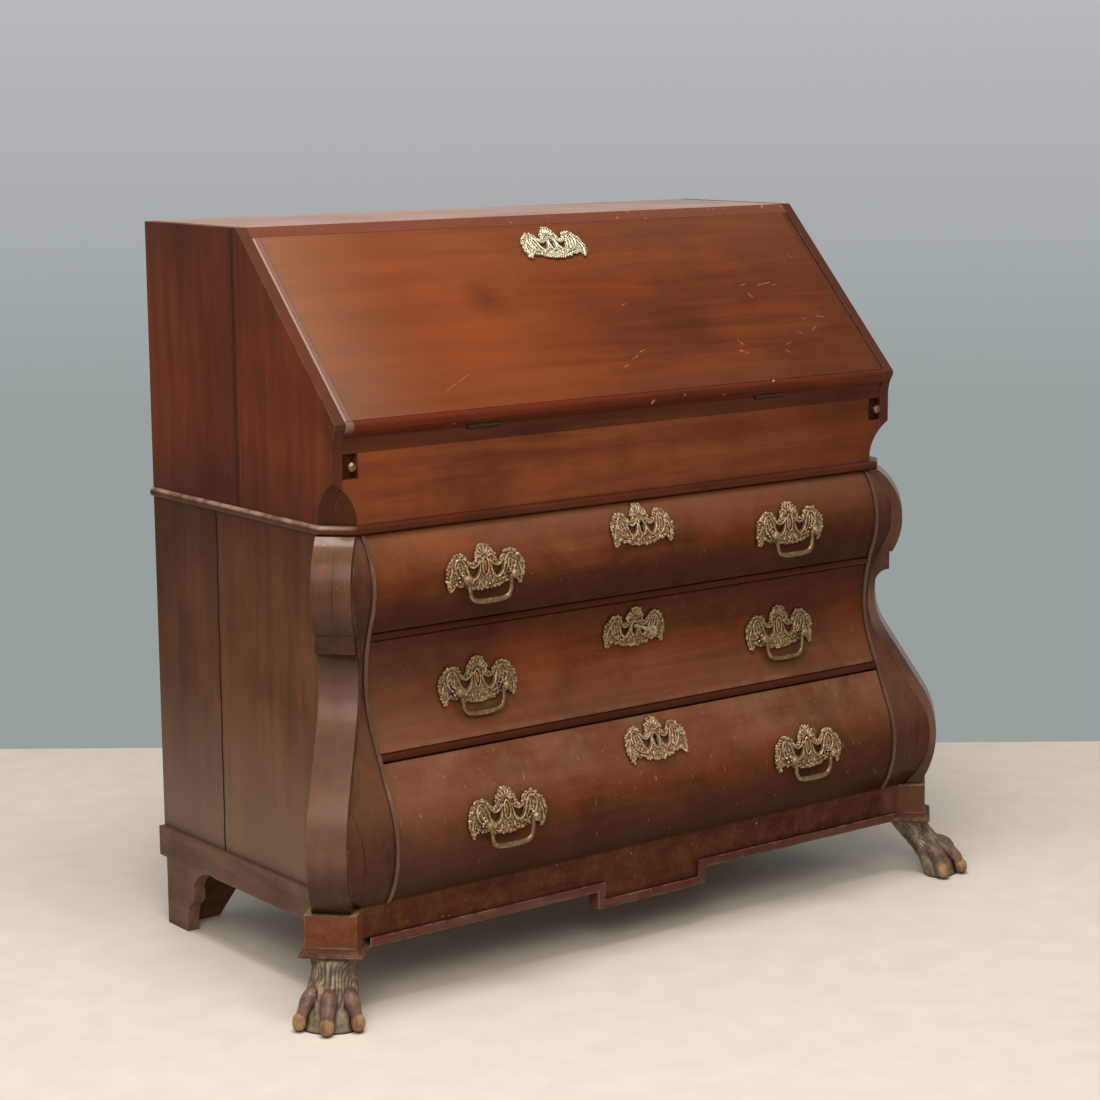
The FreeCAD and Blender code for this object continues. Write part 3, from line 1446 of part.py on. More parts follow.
def key(height, inner):
    """The key left in the middle drawer's lock: a shaft, a ring bow and a bit."""
    face = s.case_depth + s.plate_thickness
    start = inner - s.lock_pocket_depth + s.seat_gap
    end = face + s.key_length_outside
    shaft = rod("key_shaft", s.key_shaft_radius, end - start, "y")
    move(shaft, 0, front(start), height)
    thick = s.key_bow_thickness
    outer = rod("key_bow_outer", s.key_bow_radius, thick, "x")
    inner_round = rod("key_bow_inner", s.key_bow_radius - s.key_bow_wire, thick, "x")
    for piece in (outer, inner_round):
        move(piece, -thick / 2, front(end + s.key_bow_radius - s.key_bow_wire / 2), height)
    bow = cut("key_bow", outer, inner_round)
    half = s.key_bit_thickness / 2
    depth = span(start, inner - s.seat_gap)
    bit = board("key_bit", across(half), depth, (height - s.key_shaft_radius - s.key_bit_length, height))
    node("key", fuse("key", shaft, bow, bit))


def gallery():
    """Small drawers under a row of pigeonholes, standing on the back of the writing board."""
    floor = desk_height
    deck = floor + s.gallery_board
    shelf = deck + s.small_drawer_height
    ceiling = s.case_height - s.top_thickness
    back = s.back_thickness
    thick = s.gallery_board
    pieces = [
        board("gallery_floor", across(inner_half), span(back, gallery_lip_depth), (floor, deck)),
        board("gallery_shelf", across(inner_half), span(back, gallery_front_depth), (shelf, shelf + thick)),
    ]
    bay = (2 * inner_half - thick * (SMALL_DRAWERS - 1)) / SMALL_DRAWERS
    for count in range(SMALL_DRAWERS - 1):
        start = -inner_half + bay * (count + 1) + thick * count
        depth = span(back, gallery_front_depth)
        pieces.append(board(f"drawer_divider_{count + 1}", (start, start + thick), depth, (deck, shelf)))
    hole = (2 * inner_half - thick * (PIGEONHOLES - 1)) / PIGEONHOLES
    for count in range(PIGEONHOLES - 1):
        start = -inner_half + hole * (count + 1) + thick * count
        depth = span(back, pigeonhole_front_depth)
        z = shelf + thick, ceiling
        pieces.append(board(f"pigeonhole_divider_{count + 1}", (start, start + thick), depth, z))
    node("gallery_boards", *pieces)
    for count in range(SMALL_DRAWERS):
        start = -inner_half + (bay + thick) * count
        small_drawer(count + 1, start + s.running_clearance, start + bay - s.running_clearance, deck, shelf)


def small_drawer(number, left, right, deck, shelf):
    name = f"small_drawer_{number}"
    low = deck + s.seat_gap
    high = shelf - s.running_clearance
    face = gallery_front_depth
    inside = face - s.small_front_thickness
    thin = s.small_board
    rim = high - thin
    back = s.small_drawer_back
    middle = (left + right) / 2
    height = (low + high) / 2
    outline = knob_outline(s.small_knob_reach, s.small_knob_radius, s.small_knob_stem, s.small_knob_head)
    knob = move(turned(f"{name}_knob", outline), middle, front(face), height)
    node(
        name,
        board(f"{name}_front", (left, right), span(inside, face), (low, high)),
        board(f"{name}_left", (left, left + thin), span(back, inside), (low, rim)),
        board(f"{name}_right", (right - thin, right), span(back, inside), (low, rim)),
        board(f"{name}_bottom", (left + thin, right - thin), span(back, inside), (low, low + thin)),
        board(f"{name}_back", (left + thin, right - thin), span(back, back + thin), (low + thin, rim)),
        knob,
    )


def check_document():
    """Stop on any object that failed or any sub-part without a sound shape."""
    for thing in doc.Objects:
        if "Invalid" in thing.State or "Error" in thing.State:
            raise RuntimeError(f"{thing.Label} failed: {thing.State}")
    for label, thing in nodes.items():
        if thing.Shape.isNull() or not thing.Shape.isValid():
            raise RuntimeError(f"{label} has no sound shape")


corner_pilasters()
front_stiles()
lower_case()
waist()
plinth()
paw_feet()
desk(upper_case())
fall_hinges()
fall()
keyholes = {values[0]: drawer(*values) for values in DRAWERS}
key(*keyholes[2])
gallery()
doc.recompute()
check_document()
os.makedirs("parts", exist_ok=True)
for label, thing in nodes.items():
    thing.Shape.exportStep(f"parts/{label}.step")
print(len(nodes), "sub-parts")
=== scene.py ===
"""Fall-front bureau: finishes, cast brass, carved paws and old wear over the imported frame."""
import math
import random

import bmesh
import bpy
from mathutils import Matrix, Vector


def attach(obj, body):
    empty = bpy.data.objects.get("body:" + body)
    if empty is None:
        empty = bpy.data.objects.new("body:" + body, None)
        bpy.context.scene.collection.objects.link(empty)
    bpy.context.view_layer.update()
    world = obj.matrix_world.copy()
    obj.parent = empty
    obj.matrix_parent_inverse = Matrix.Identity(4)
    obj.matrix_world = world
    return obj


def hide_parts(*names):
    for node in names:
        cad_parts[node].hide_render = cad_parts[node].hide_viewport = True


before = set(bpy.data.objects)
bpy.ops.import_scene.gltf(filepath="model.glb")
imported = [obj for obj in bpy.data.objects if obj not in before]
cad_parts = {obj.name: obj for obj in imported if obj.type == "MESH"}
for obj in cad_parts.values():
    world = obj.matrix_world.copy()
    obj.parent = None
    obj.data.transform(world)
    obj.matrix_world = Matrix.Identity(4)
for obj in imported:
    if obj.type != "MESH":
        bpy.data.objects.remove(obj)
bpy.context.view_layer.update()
scene = bpy.context.scene
scene.view_settings.view_transform = "Standard"

MM = 0.001


# Colours, shader nodes and layers of finish

def linear(text):
    """An sRGB hex colour as linear RGBA."""
    values = [int(text[i:i + 2], 16) / 255 for i in (1, 3, 5)]
    return [v / 12.92 if v <= 0.04045 else ((v + 0.055) / 1.055) ** 2.4 for v in values] + [1.0]


def add(tree, kind, links=None, stops=(), **settings):
    """Add a shader node. Links name its inputs and give each a value or another node's output, and a
    colour ramp also gets its stops as (place, hex colour)."""
    made = tree.nodes.new("ShaderNode" + kind)
    for key, value in settings.items():
        setattr(made, key, value)
    for socket, source in (links or {}).items():
        if isinstance(source, bpy.types.NodeSocket):
            tree.links.new(source, made.inputs[socket])
        else:
            made.inputs[socket].default_value = source
    stops = list(stops)
    if stops:
        elements = made.color_ramp.elements
        while len(elements) < len(stops):
            elements.new(0.5)
        for element, (place, colour) in zip(elements, stops):
            element.position = place
            element.color = linear(colour)
    return made


def new_material(name):
    """A material with an empty tree, and the object's coordinates."""
    material = bpy.data.materials.new(name)
    material.use_nodes = True
    tree = material.node_tree
    tree.nodes.clear()
    return material, tree, add(tree, "TexCoord").outputs["Object"]


def lay(tree, colour, *coats):
    """Lay coats of colour over the first. A coat is its colour and its limits, each (value, start, end, low,
    high): its strength runs from low to high as the value runs from start to end, and limits multiply."""
    for other, *limits in coats:
        strength = None
        for value, start, end, low, high in limits:
            part = add(tree, "MapRange", {
                "Value": value, "From Min": start, "From Max": end, "To Min": low, "To Max": high,
            }).outputs["Result"]
            if strength is not None:
                part = add(tree, "Math", {0: strength, 1: part}, operation="MULTIPLY").outputs["Value"]
            strength = part
        mix = {"Factor": strength, "A": colour, "B": linear(other)}
        colour = add(tree, "Mix", mix, data_type="RGBA").outputs["Result"]
    return colour


def facing(tree, normal="True Normal"):
    """Which way the surface faces, as X, Y and Z."""
    way = add(tree, "NewGeometry").outputs[normal]
    return add(tree, "SeparateXYZ", {"Vector": way}).outputs


def off_by(tree, value, place):
    """How far a value is from a place, either way."""
    past = add(tree, "Math", {0: value, 1: place}, operation="SUBTRACT").outputs["Value"]
    return add(tree, "Math", {0: past}, operation="ABSOLUTE").outputs["Value"]


# Where the object's curved faces lie, in millimetres, with depths from the back of the case

BACK = 322.5
BULGE_HEIGHT, BULGE_DEPTH, BULGE_RADIUS = 238, 448, 138
NECK_HEIGHT, NECK_DEPTH, NECK_RADIUS = 468, 683, 172
SHOULDER_HEIGHT, SHOULDER_DEPTH, SHOULDER_RADIUS = 604, 422.5, 115
HINGE_DEPTH, HINGE_HEIGHT = 511, 820.5
LID_BACK, LID_UP = 0.69393, 0.72004
LID_FACE = 22.4
CORNER_X, CORNER_Y = -540, -188.5


def front_depth(z):
    """Depth of the bombe front at a height: bulge, straight, lower neck, upper neck and shoulder."""
    rise, out = NECK_HEIGHT - BULGE_HEIGHT, NECK_DEPTH - BULGE_DEPTH
    length = math.hypot(rise, out)
    along = (BULGE_RADIUS + NECK_RADIUS) / length
    aside = math.sqrt(1 - along * along)
    lean = along * rise / length - aside * out / length
    face = along * out / length + aside * rise / length
    bulge_end = BULGE_HEIGHT + BULGE_RADIUS * lean
    hollow = NECK_DEPTH - NECK_RADIUS
    climb = SHOULDER_HEIGHT - NECK_HEIGHT
    gain = SHOULDER_DEPTH + SHOULDER_RADIUS - hollow
    both_radii = (climb ** 2 + gain ** 2) / (2 * gain)
    upper_radius = both_radii - SHOULDER_RADIUS
    if z < bulge_end:
        return BULGE_DEPTH + math.sqrt(BULGE_RADIUS ** 2 - (z - BULGE_HEIGHT) ** 2)
    if z < NECK_HEIGHT - NECK_RADIUS * lean:
        return BULGE_DEPTH + BULGE_RADIUS * face - (z - bulge_end) * lean / face
    if z < NECK_HEIGHT:
        return NECK_DEPTH - math.sqrt(NECK_RADIUS ** 2 - (z - NECK_HEIGHT) ** 2)
    if z < SHOULDER_HEIGHT - SHOULDER_RADIUS * climb / both_radii:
        return hollow + upper_radius - math.sqrt(upper_radius ** 2 - (z - NECK_HEIGHT) ** 2)
    return SHOULDER_DEPTH + math.sqrt(SHOULDER_RADIUS ** 2 - (z - SHOULDER_HEIGHT) ** 2)


def on_lid(across, along, out):
    """A point of the closed fall: along is up the slant from the hinge, out is away from the case."""
    depth = HINGE_DEPTH - along * LID_BACK + out * LID_UP
    return Vector((across, BACK - depth, HINGE_HEIGHT + along * LID_UP + out * LID_BACK))


def at_corner(across, reach, height):
    """A point in the left corner's diagonal frame."""
    root = math.sqrt(2)
    return Vector((CORNER_X + (across - reach) / root, CORNER_Y - (across + reach) / root, height))


# Woods. A noise scale of 1000 / n gives marks about n millimetres across

def stretched(grain, amount):
    """A pattern's scale on each axis, drawn out along the grain."""
    return tuple(amount if axis == grain else 1.0 for axis in "xyz")


def old_boards(name, grain, tones, rough=0.4, edge="#9a6a48", edge_amount=0.5, edge_width=1.4,
               cloud="#2a130b", cloud_amount=0.5, painted_crevice_shade=0.6, dust=0.0, facing_dust_and_shade=0.0, polish=0.04, details=None):
    """Waxed old boards: long streaks, short dark pores, cloudy old polish, rubbed edges, painted shade in
    corners and, where asked, dust and painted light by the way a face turns.
    The details are marks that belong to one place on the object."""
    material, tree, coords = new_material(name)
    along = add(tree, "Mapping", {"Vector": coords, "Scale": stretched(grain, 0.08)}).outputs["Vector"]
    fine = add(tree, "Mapping", {"Vector": coords, "Scale": stretched(grain, 0.025)}).outputs["Vector"]
    bands = add(tree, "TexNoise", {
        "Vector": along, "Scale": 1000 / 26, "Detail": 4.0, "Roughness": 0.55, "Distortion": 0.8,
    }).outputs["Fac"]
    streaks = add(tree, "TexNoise", {
        "Vector": fine, "Scale": 1000 / 3.2, "Detail": 3.0, "Roughness": 0.6, "Distortion": 0.2,
    }).outputs["Fac"]
    both = add(tree, "Mix", {"Factor": 0.2, "A": bands, "B": streaks}).outputs["Result"]
    colour = add(tree, "ValToRGB", {"Fac": both}, stops=zip((0.2, 0.5, 0.8), tones)).outputs["Color"]
    # Pores are about 1 mm wide, drawn a little coarser than real ones so that they show.
    pores = add(tree, "TexNoise", {"Vector": fine, "Scale": 1000 / 1.6}).outputs["Fac"]
    colour = lay(tree, colour, ("#241009", (pores, 0.6, 0.74, 0, 0.32)))
    clouds = add(tree, "TexNoise", {
        "Vector": coords, "Scale": 1000 / 190, "Detail": 4.0, "Roughness": 0.6,
    }).outputs["Fac"]
    colour = lay(tree, colour, (cloud, (clouds, 0.42, 0.72, 0, cloud_amount)))
    if details:
        at = add(tree, "SeparateXYZ", {"Vector": coords}).outputs
        colour = details(tree, colour, coords, at)
    specks = add(tree, "TexNoise", {
        "Vector": coords, "Scale": 1000 / 22, "Detail": 5.0, "Roughness": 0.7,
    }).outputs["Fac"]
    if dust:
        # Grey-brown dust lies in faint patches, with a few pale flecks of 2 to 3 mm.
        flecks = add(tree, "TexNoise", {
            "Vector": coords, "Scale": 1000 / 6, "Detail": 3.0, "Roughness": 0.6,
        }).outputs["Fac"]
        colour = lay(
            tree, colour,
            ("#84603f", (specks, 0.45, 0.7, 0, dust * 0.5)),
            ("#b8a490", (flecks, 0.7, 0.76, 0, min(1, dust * 2))),
        )
    if facing_dust_and_shade:
        # What faces up is greyed, partly by dust and partly as painted light; what faces down is darkened as
        # painted shade.
        up = facing(tree, "Normal")["Z"]
        colour = lay(
            tree, colour,
            ("#93694f", (up, 0.1, 0.85, 0, facing_dust_and_shade)),
            ("#280a03", (up, 0.1, -0.6, 0, facing_dust_and_shade * 1.9)),
        )
    rounded = add(tree, "Bevel", {"Radius": edge_width * MM}, samples=4).outputs["Normal"]
    flat = add(tree, "NewGeometry").outputs["True Normal"]
    turn = add(tree, "VectorMath", {0: rounded, 1: flat}, operation="DOT_PRODUCT").outputs["Value"]
    colour = lay(tree, colour, (edge, (turn, 0.985, 0.8, 0, 1), (specks, 0.4, 0.62, 0, edge_amount)))
    # Corners and crevices found by ambient occlusion are darkened as painted shade.
    shade = add(tree, "AmbientOcclusion", {"Distance": 18 * MM}, samples=4).outputs["AO"]
    colour = lay(tree, colour, ("#150a06", (shade, 0.25, 0.8, painted_crevice_shade, 0)))
    dull = add(tree, "MapRange", {
        "Value": clouds, "From Min": 0.3, "From Max": 0.7, "To Min": rough - 0.09, "To Max": rough + 0.12,
    }).outputs["Result"]
    bump = add(tree, "Bump", {
        "Height": both, "Strength": 0.12, "Distance": 0.4 * MM, "Normal": rounded,
    }).outputs["Normal"]
    shader = add(tree, "BsdfPrincipled", {
        "Base Color": colour, "Roughness": dull, "Normal": bump, "IOR": 1.5, "Specular IOR Level": 0.07,
        "Coat Weight": polish, "Coat Roughness": 0.16,
    })
    add(tree, "OutputMaterial", {"Surface": shader.outputs["BSDF"]})
    return material


def stroke(tree, coords, start, end, width):
    """Mask of a thin mark between two points, in millimetres."""
    run = (end - start) * MM
    length = run.length
    ahead = run / length
    away = add(tree, "VectorMath", {0: coords, 1: start * MM}, operation="SUBTRACT").outputs["Vector"]
    share = add(tree, "VectorMath", {0: away, 1: ahead}, operation="DOT_PRODUCT").outputs["Value"]
    share = add(tree, "Clamp", {"Value": share, "Min": 0.0, "Max": length}).outputs["Result"]
    foot = add(tree, "VectorMath", {0: ahead, "Scale": share}, operation="SCALE").outputs["Vector"]
    gap = add(tree, "VectorMath", {0: away, 1: foot}, operation="DISTANCE").outputs["Value"]
    return add(tree, "MapRange", {
        "Value": gap, "From Min": width * 0.25 * MM, "From Max": width * 0.55 * MM,
        "To Min": 1.0, "To Max": 0.0,
    }).outputs["Result"]


# Marks that belong to one place. Their limits on X, Y and Z are in metres

# Dents and scratches of the fall in millimetres: start and end across and up the slant, and width
LID_SCRATCHES = (
    ((-331, 49), (-279, 74), 1.4), ((323, 204), (340, 207), 2.2), ((335, 188), (338, 179), 2.6),
    ((365, 203), (394, 207), 2.0), ((392, 201), (408, 202), 2.4), ((257, 96), (262, 87), 3.0),
    ((249, 76), (262, 69), 3.2), ((416, 127), (431, 130), 2.4), ((450, 131), (463, 128), 2.2),
    ((343, 70), (346, 64), 3.0), ((388, 104), (396, 99), 2.0), ((32, 77), (45, 82), 2.0),
    ((7, 63), (17, 66), 2.0), ((53, 89), (68, 94), 1.8), ((62, 179), (77, 184), 1.6),
    ((467, 264), (472, 254), 1.8), ((421, 103), (435, 111), 2.0), ((348, 78), (366, 85), 2.2),
)


def lid_marks(tree, colour, coords, at):
    """A right end darkened as painted shade, a painted grey sheen at the left end and along the top, a dark
    foot, a warm worn middle, two dull smudges, and pale dents and scratches."""
    # Painted shade at the right end, and a painted grey sheen at the left end and along the top.
    colour = lay(
        tree, colour,
        ("#3e2012", (at["X"], 0.3, 0.53, 0, 0.38)),
        ("#8b6a54", (at["X"], -0.32, -0.53, 0, 0.5)),
        ("#7d4d34", (at["Z"], 0.99, 1.065, 0, 0.25)),
        ("#4c2c1e", (at["Z"], 0.91, 0.835, 0, 0.4)),
    )
    patches = (
        (on_lid(-240, 150, 22), 0.05, 0.34, 0.45, "#85431e"),
        (on_lid(-175, 216, LID_FACE), 0, 0.05, 0.5, "#33190f"),
        (on_lid(180, 136, LID_FACE), 0, 0.09, 0.5, "#33190f"),
    )
    for middle, start, end, amount, other in patches:
        away = add(tree, "VectorMath", {0: coords, 1: middle * MM}, operation="DISTANCE").outputs["Value"]
        colour = lay(tree, colour, (other, (away, start, end, amount, 0)))
    worn = None
    for start, end, width in LID_SCRATCHES:
        mask = stroke(tree, coords, on_lid(*start, LID_FACE), on_lid(*end, LID_FACE), width)
        if worn is not None:
            mask = add(tree, "Math", {0: worn, 1: mask}, operation="MAXIMUM").outputs["Value"]
        worn = mask
    ragged = add(tree, "TexNoise", {"Vector": coords, "Scale": 1000 / 4, "Detail": 3.0}).outputs["Fac"]
    return lay(tree, colour, ("#b58659", (worn, 0, 1, 0, 1), (ragged, 0.4, 0.56, 0, 0.5)))


def bead_marks(tree, colour, coords, at):
    """The end beads are darker, which on the right one is painted shade, and the left bead's flank carries a
    painted pale highlight; chips in the red bottom nosing show pale wood.
    """
    away = add(tree, "Math", {0: at["X"]}, operation="ABSOLUTE").outputs["Value"]
    painted_highlight_facing = facing(tree, "Normal")["X"]
    left_end = (at["X"], -0.507, -0.511, 0, 1)
    above_nosing = (at["Z"], 0.826, 0.834, 0, 1)
    chips = add(tree, "TexNoise", {"Vector": coords, "Scale": 1000 / 26, "Detail": 4.0}).outputs["Fac"]
    # Painted shade on the end beads, and a painted highlight on the left bead's flank where it faces left.
    return lay(
        tree, colour,
        ("#4a2c20", (away, 0.507, 0.511, 0, 0.75)),
        ("#b09588", (painted_highlight_facing, -0.15, -0.6, 0.25, 0.85), left_end, above_nosing),
        ("#d3a273", (chips, 0.7, 0.74, 0, 0.75)),
    )


def side_marks(tree, colour, coords, at):
    """The lower side's back board is greyer than its front board and split along the joint; both are grey low
    down with a painted reflection of the floor, and darker under the waist as painted shade."""
    waver = add(tree, "TexNoise", {"Vector": coords, "Scale": 1000 / 60, "Detail": 3.0}).outputs["Fac"]
    shift = add(tree, "MapRange", {
        "Value": waver, "From Min": 0.3, "From Max": 0.7, "To Min": -0.0025, "To Max": 0.0025,
    }).outputs["Result"]
    place = add(tree, "Math", {0: at["Y"], 1: shift}, operation="ADD").outputs["Value"]
    # A painted reflection of the floor low down, and painted shade under the waist.
    return lay(
        tree, colour,
        ("#3a2a22", (at["Y"], 0.1325, 0.1355, 0, 0.25)),
        ("#8c7666", (at["Z"], 0.42, 0.2, 0, 0.5)),
        ("#3c1c10", (at["Z"], 0.5, 0.66, 0, 0.4)),
        ("#100805", (off_by(tree, place, 0.134), 0.0016, 0.003, 0.95, 0)),
    )


def hollow_marks(tree, colour, coords, at):
    """The hollow stopped chamfers at the foot of the upper case are darker than the faces beside them, and
    all of it is darker to the right as painted shade."""
    way = facing(tree)
    slant = add(tree, "Math", {0: way["X"], 1: way["Y"]}, operation="MULTIPLY").outputs["Value"]
    slant = add(tree, "Math", {0: slant}, operation="ABSOLUTE").outputs["Value"]
    return lay(
        tree, colour,
        # Painted shade towards the right.
        ("#34170b", (at["X"], 0.1, 0.52, 0, 0.42)),
        ("#2c1610", (slant, 0.12, 0.25, 0, 0.7)),
    )


def waist_marks(tree, colour, coords, at):
    """The waist bead is rubbed and chipped pale along the left side and round the left corner, only on its
    upper faces, where the pale is also a painted highlight.
    """
    chips = add(tree, "TexNoise", {"Vector": coords, "Scale": 1000 / 30, "Detail": 4.0}).outputs["Fac"]
    left = (at["X"], -0.5, -0.535, 0, 1)
    # Limiting the pale to upper faces makes it partly a painted highlight.
    upper = (facing(tree)["Z"], 0, 0.45, 0.1, 1)
    return lay(tree, colour, ("#a98f7a", (chips, 0.38, 0.58, 0.15, 0.8), left, upper))


def foot_marks(tree, colour, coords, at):
    """A dark red line of old wax along the top ledge of a plinth side."""
    return lay(tree, colour, ("#4a2216", (at["Z"], 0.1745, 0.1775, 0, 0.8)))


def ledge_marks(tree, colour, coords, at):
    """Pale dust lies along the narrow ledges of the plinth and its blocks; the plinth is darker to the right
    as painted shade, and the right block is dull."""
    return lay(
        tree, colour,
        # Painted shade towards the right.
        ("#301006", (at["X"], 0.1, 0.48, 0, 0.6)),
        ("#5a3c2c", (at["X"], 0.49, 0.51, 0, 0.8)),
        ("#9c8871", (facing(tree)["Z"], 0.5, 0.9, 0, 0.65)),
    )


def upper_marks(tree, colour, coords, at):
    """An upper side has a dark glue joint between its two boards, a hollow front corner and a brown slanting
    edge, and is darker towards its top and its foot."""
    colour = hollow_marks(tree, colour, coords, at)
    gap = off_by(tree, at["Y"], 0.068)
    return lay(
        tree, colour,
        ("#3c2118", (at["Z"], 0.9, 1.09, 0, 0.4)),
        ("#301a14", (at["Z"], 0.79, 0.71, 0, 0.35)),
        ("#472a1e", (facing(tree)["Y"], -0.4, -0.6, 0, 0.65)),
        ("#2c150f", (gap, 0, 0.012, 0.45, 0)),
        ("#190c08", (gap, 0.0006, 0.0014, 0.85, 0)),
    )


def top_marks(tree, colour, coords, at):
    """The sloping front edge of the top is redder and darker than the top, whose pale colour is partly a
    painted sheen; the edge has pale chips.
    """
    edge = (facing(tree)["Z"], 0.98, 0.85, 0, 0.85)
    chips = add(tree, "TexNoise", {"Vector": coords, "Scale": 1000 / 14, "Detail": 4.0}).outputs["Fac"]
    return lay(
        tree, colour,
        ("#5c2c1c", edge),
        ("#b9a08c", (chips, 0.67, 0.71, 0, 0.6), edge),
    )


def front_marks(tree, colour, coords, at):
    """Drawer fronts glow red in patches between dull stains, and are darker low down and to the right as
    painted shade.
    """
    warm = add(tree, "TexNoise", {"Vector": coords, "Scale": 1000 / 260, "Detail": 3.0}).outputs["Fac"]
    dull = add(tree, "TexNoise", {
        "Vector": coords, "Scale": 1000 / 110, "Detail": 4.0, "Roughness": 0.6, "Distortion": 0.6,
    }).outputs["Fac"]
    veil = add(tree, "TexNoise", {
        "Vector": coords, "Scale": 1000 / 75, "Detail": 5.0, "Roughness": 0.65,
    }).outputs["Fac"]
    upright = add(tree, "Mapping", {"Vector": coords, "Scale": stretched("z", 0.3)}).outputs["Vector"]
    scuffs = add(tree, "TexNoise", {"Vector": upright, "Scale": 1000 / 9, "Detail": 3.0}).outputs["Fac"]
    lower_two = (at["Z"], 0.556, 0.552, 0, 1)
    top_one = (at["Z"], 0.552, 0.556, 0, 1)
    lowest = (at["Z"], 0.376, 0.372, 0, 1)
    return lay(
        tree, colour,
        ("#7e401d", (warm, 0.48, 0.66, 0, 0.6)),
        ("#3a1b0e", (dull, 0.5, 0.72, 0, 0.6)),
        # Painted shade towards the right and low down.
        ("#2c150b", (at["X"], 0.05, 0.5, 0, 0.5)),
        ("#34190d", (at["Z"], 0.3, 0.18, 0, 0.6)),
        # The left ends of the two lower drawers are grey with handling.
        ("#5a4334", (at["X"], -0.27, -0.45, 0, 0.42), lower_two),
        # The head of the middle drawer, under the top one's bulge, and the foot of the top one are darkened
        # as painted shade.
        ("#300f05", (at["Z"], 0.45, 0.545, 0, 0.65), lower_two),
        ("#280b03", (at["Z"], 0.62, 0.56, 0, 0.5), top_one),
        # A veil of dust and short upright scuffs lie on the lowest drawer.
        ("#85684f", (veil, 0.45, 0.68, 0, 0.45), lowest, (at["Z"], 0.25, 0.34, 0, 1)),
        ("#a88b72", (scuffs, 0.69, 0.75, 0, 0.45), lowest),
    )


# Bands across the pilasters from foot to neck: middle, half height, amount and colour. The bands at 0.27 and
# 0.455 are painted highlights, the first also dust; those at 0.375 and 0.52 are painted shade in the hollow
# and under the ledge; the one at 0.17 is a dark foot.
PILASTER_DUST_LIGHT_AND_SHADE_BANDS = (
    (0.27, 0.09, 0.25, "#826a58"), (0.455, 0.06, 0.28, "#8f746a"), (0.375, 0.05, 0.35, "#2e1a12"),
    (0.52, 0.06, 0.6, "#2a1208"), (0.17, 0.07, 0.6, "#331c12"),
)


def pilaster_marks(tree, colour, coords, at):
    """Each canted pilaster has bands of dust, painted highlight and painted shade, a dark foot, and an
    upright veneer seam near its head.
    """
    for middle, half, amount, other in PILASTER_DUST_LIGHT_AND_SHADE_BANDS:
        colour = lay(tree, colour, (other, (off_by(tree, at["Z"], middle), half * 0.4, half, amount, 0)))
    side = add(tree, "Math", {0: at["X"]}, operation="ABSOLUTE").outputs["Value"]
    across = add(tree, "Math", {0: side, 1: at["Y"]}, operation="ADD").outputs["Value"]
    gap = off_by(tree, across, 0.348)
    return lay(tree, colour, ("#1c0f0a", (gap, 0.0005, 0.0013, 0.8, 0), (at["Z"], 0.54, 0.58, 0, 1)))


def stile_marks(tree, colour, coords, at):
    """Redder veneer at the foot of each stile, beside the pilaster, behind a thin dark curved joint."""
    side = add(tree, "Math", {0: at["X"]}, operation="ABSOLUTE").outputs["Value"]
    rise = add(tree, "MapRange", {"Value": at["Z"], "From Min": 0.2, "From Max": 0.345}).outputs["Result"]
    bow = add(tree, "Math", {0: rise, 1: rise}, operation="MULTIPLY").outputs["Value"]
    arc = add(tree, "MapRange", {"Value": bow, "To Min": 0.545, "To Max": 0.573}).outputs["Result"]
    past = add(tree, "Math", {0: side, 1: arc}, operation="SUBTRACT").outputs["Value"]
    gap = add(tree, "Math", {0: past}, operation="ABSOLUTE").outputs["Value"]
    below = (bow, 0.97, 1, 1, 0)
    return lay(
        tree, colour,
        ("#5c2c19", (past, 0, 0.001, 0, 0.35), below),
        ("#1c0e08", (gap, 0.0005, 0.0013, 0.8, 0), below),
    )


def finish(material, *names):
    """Give a material to the frame's nodes of these names."""
    for name in names:
        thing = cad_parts[name]
        thing.data.materials.clear()
        thing.data.materials.append(material)


finish(
    old_boards("lid_mahogany", "x", ("#471d0c", "#622e11", "#763c18"), polish=0.05, details=lid_marks),
    "fall_panel",
)
finish(
    old_boards("nosing_mahogany", "x", ("#42180a", "#5c2410", "#713115"), rough=0.34, cloud_amount=0.3,
               details=bead_marks),
    "fall_mouldings",
)
# The top's pale colour is partly a painted sheen.
finish(
    old_boards("top_mahogany", "x", ("#71442d", "#915e3f", "#a97452"), rough=0.3, cloud_amount=0.2,
               polish=0.36, details=top_marks),
    "top_board",
)
finish(
    old_boards("upper_side_mahogany", "z", ("#522710", "#6a321a", "#7e3f22"), rough=0.46, edge="#a08068",
               edge_amount=0.9, details=upper_marks),
    "upper_side_left", "upper_side_right",
)
finish(
    old_boards("lower_side_mahogany", "z", ("#4c2f1e", "#654027", "#794d32"), rough=0.47, details=side_marks),
    "lower_side_left", "lower_side_right",
)
finish(
    old_boards("plinth_side_mahogany", "y", ("#553f31", "#735646", "#896a57"), rough=0.47, dust=0.2,
               details=foot_marks),
    "plinth_side_left", "plinth_side_right",
)
finish(
    old_boards("drawer_front_mahogany", "x", ("#4b2211", "#68341b", "#7e4627"), rough=0.38, painted_crevice_shade=0.8,
               dust=0.22, facing_dust_and_shade=0.42, polish=0.03, details=front_marks),
    "drawer_1_front", "drawer_2_front", "drawer_3_front",
)
# Rails are dark red under old polish, with rubbed edges.
finish(
    old_boards("rail_mahogany", "x", ("#2e1106", "#401a0c", "#532614"), rough=0.34, edge="#9c765c",
               edge_amount=0.7, painted_crevice_shade=0.9, polish=0.06),
    "drawer_rails",
)
finish(
    old_boards("waist_mahogany", "x", ("#3a170a", "#532413", "#69331c"), rough=0.34, edge="#a58570",
               edge_amount=0.6, polish=0.12, details=waist_marks),
    "waist_moulding",
)
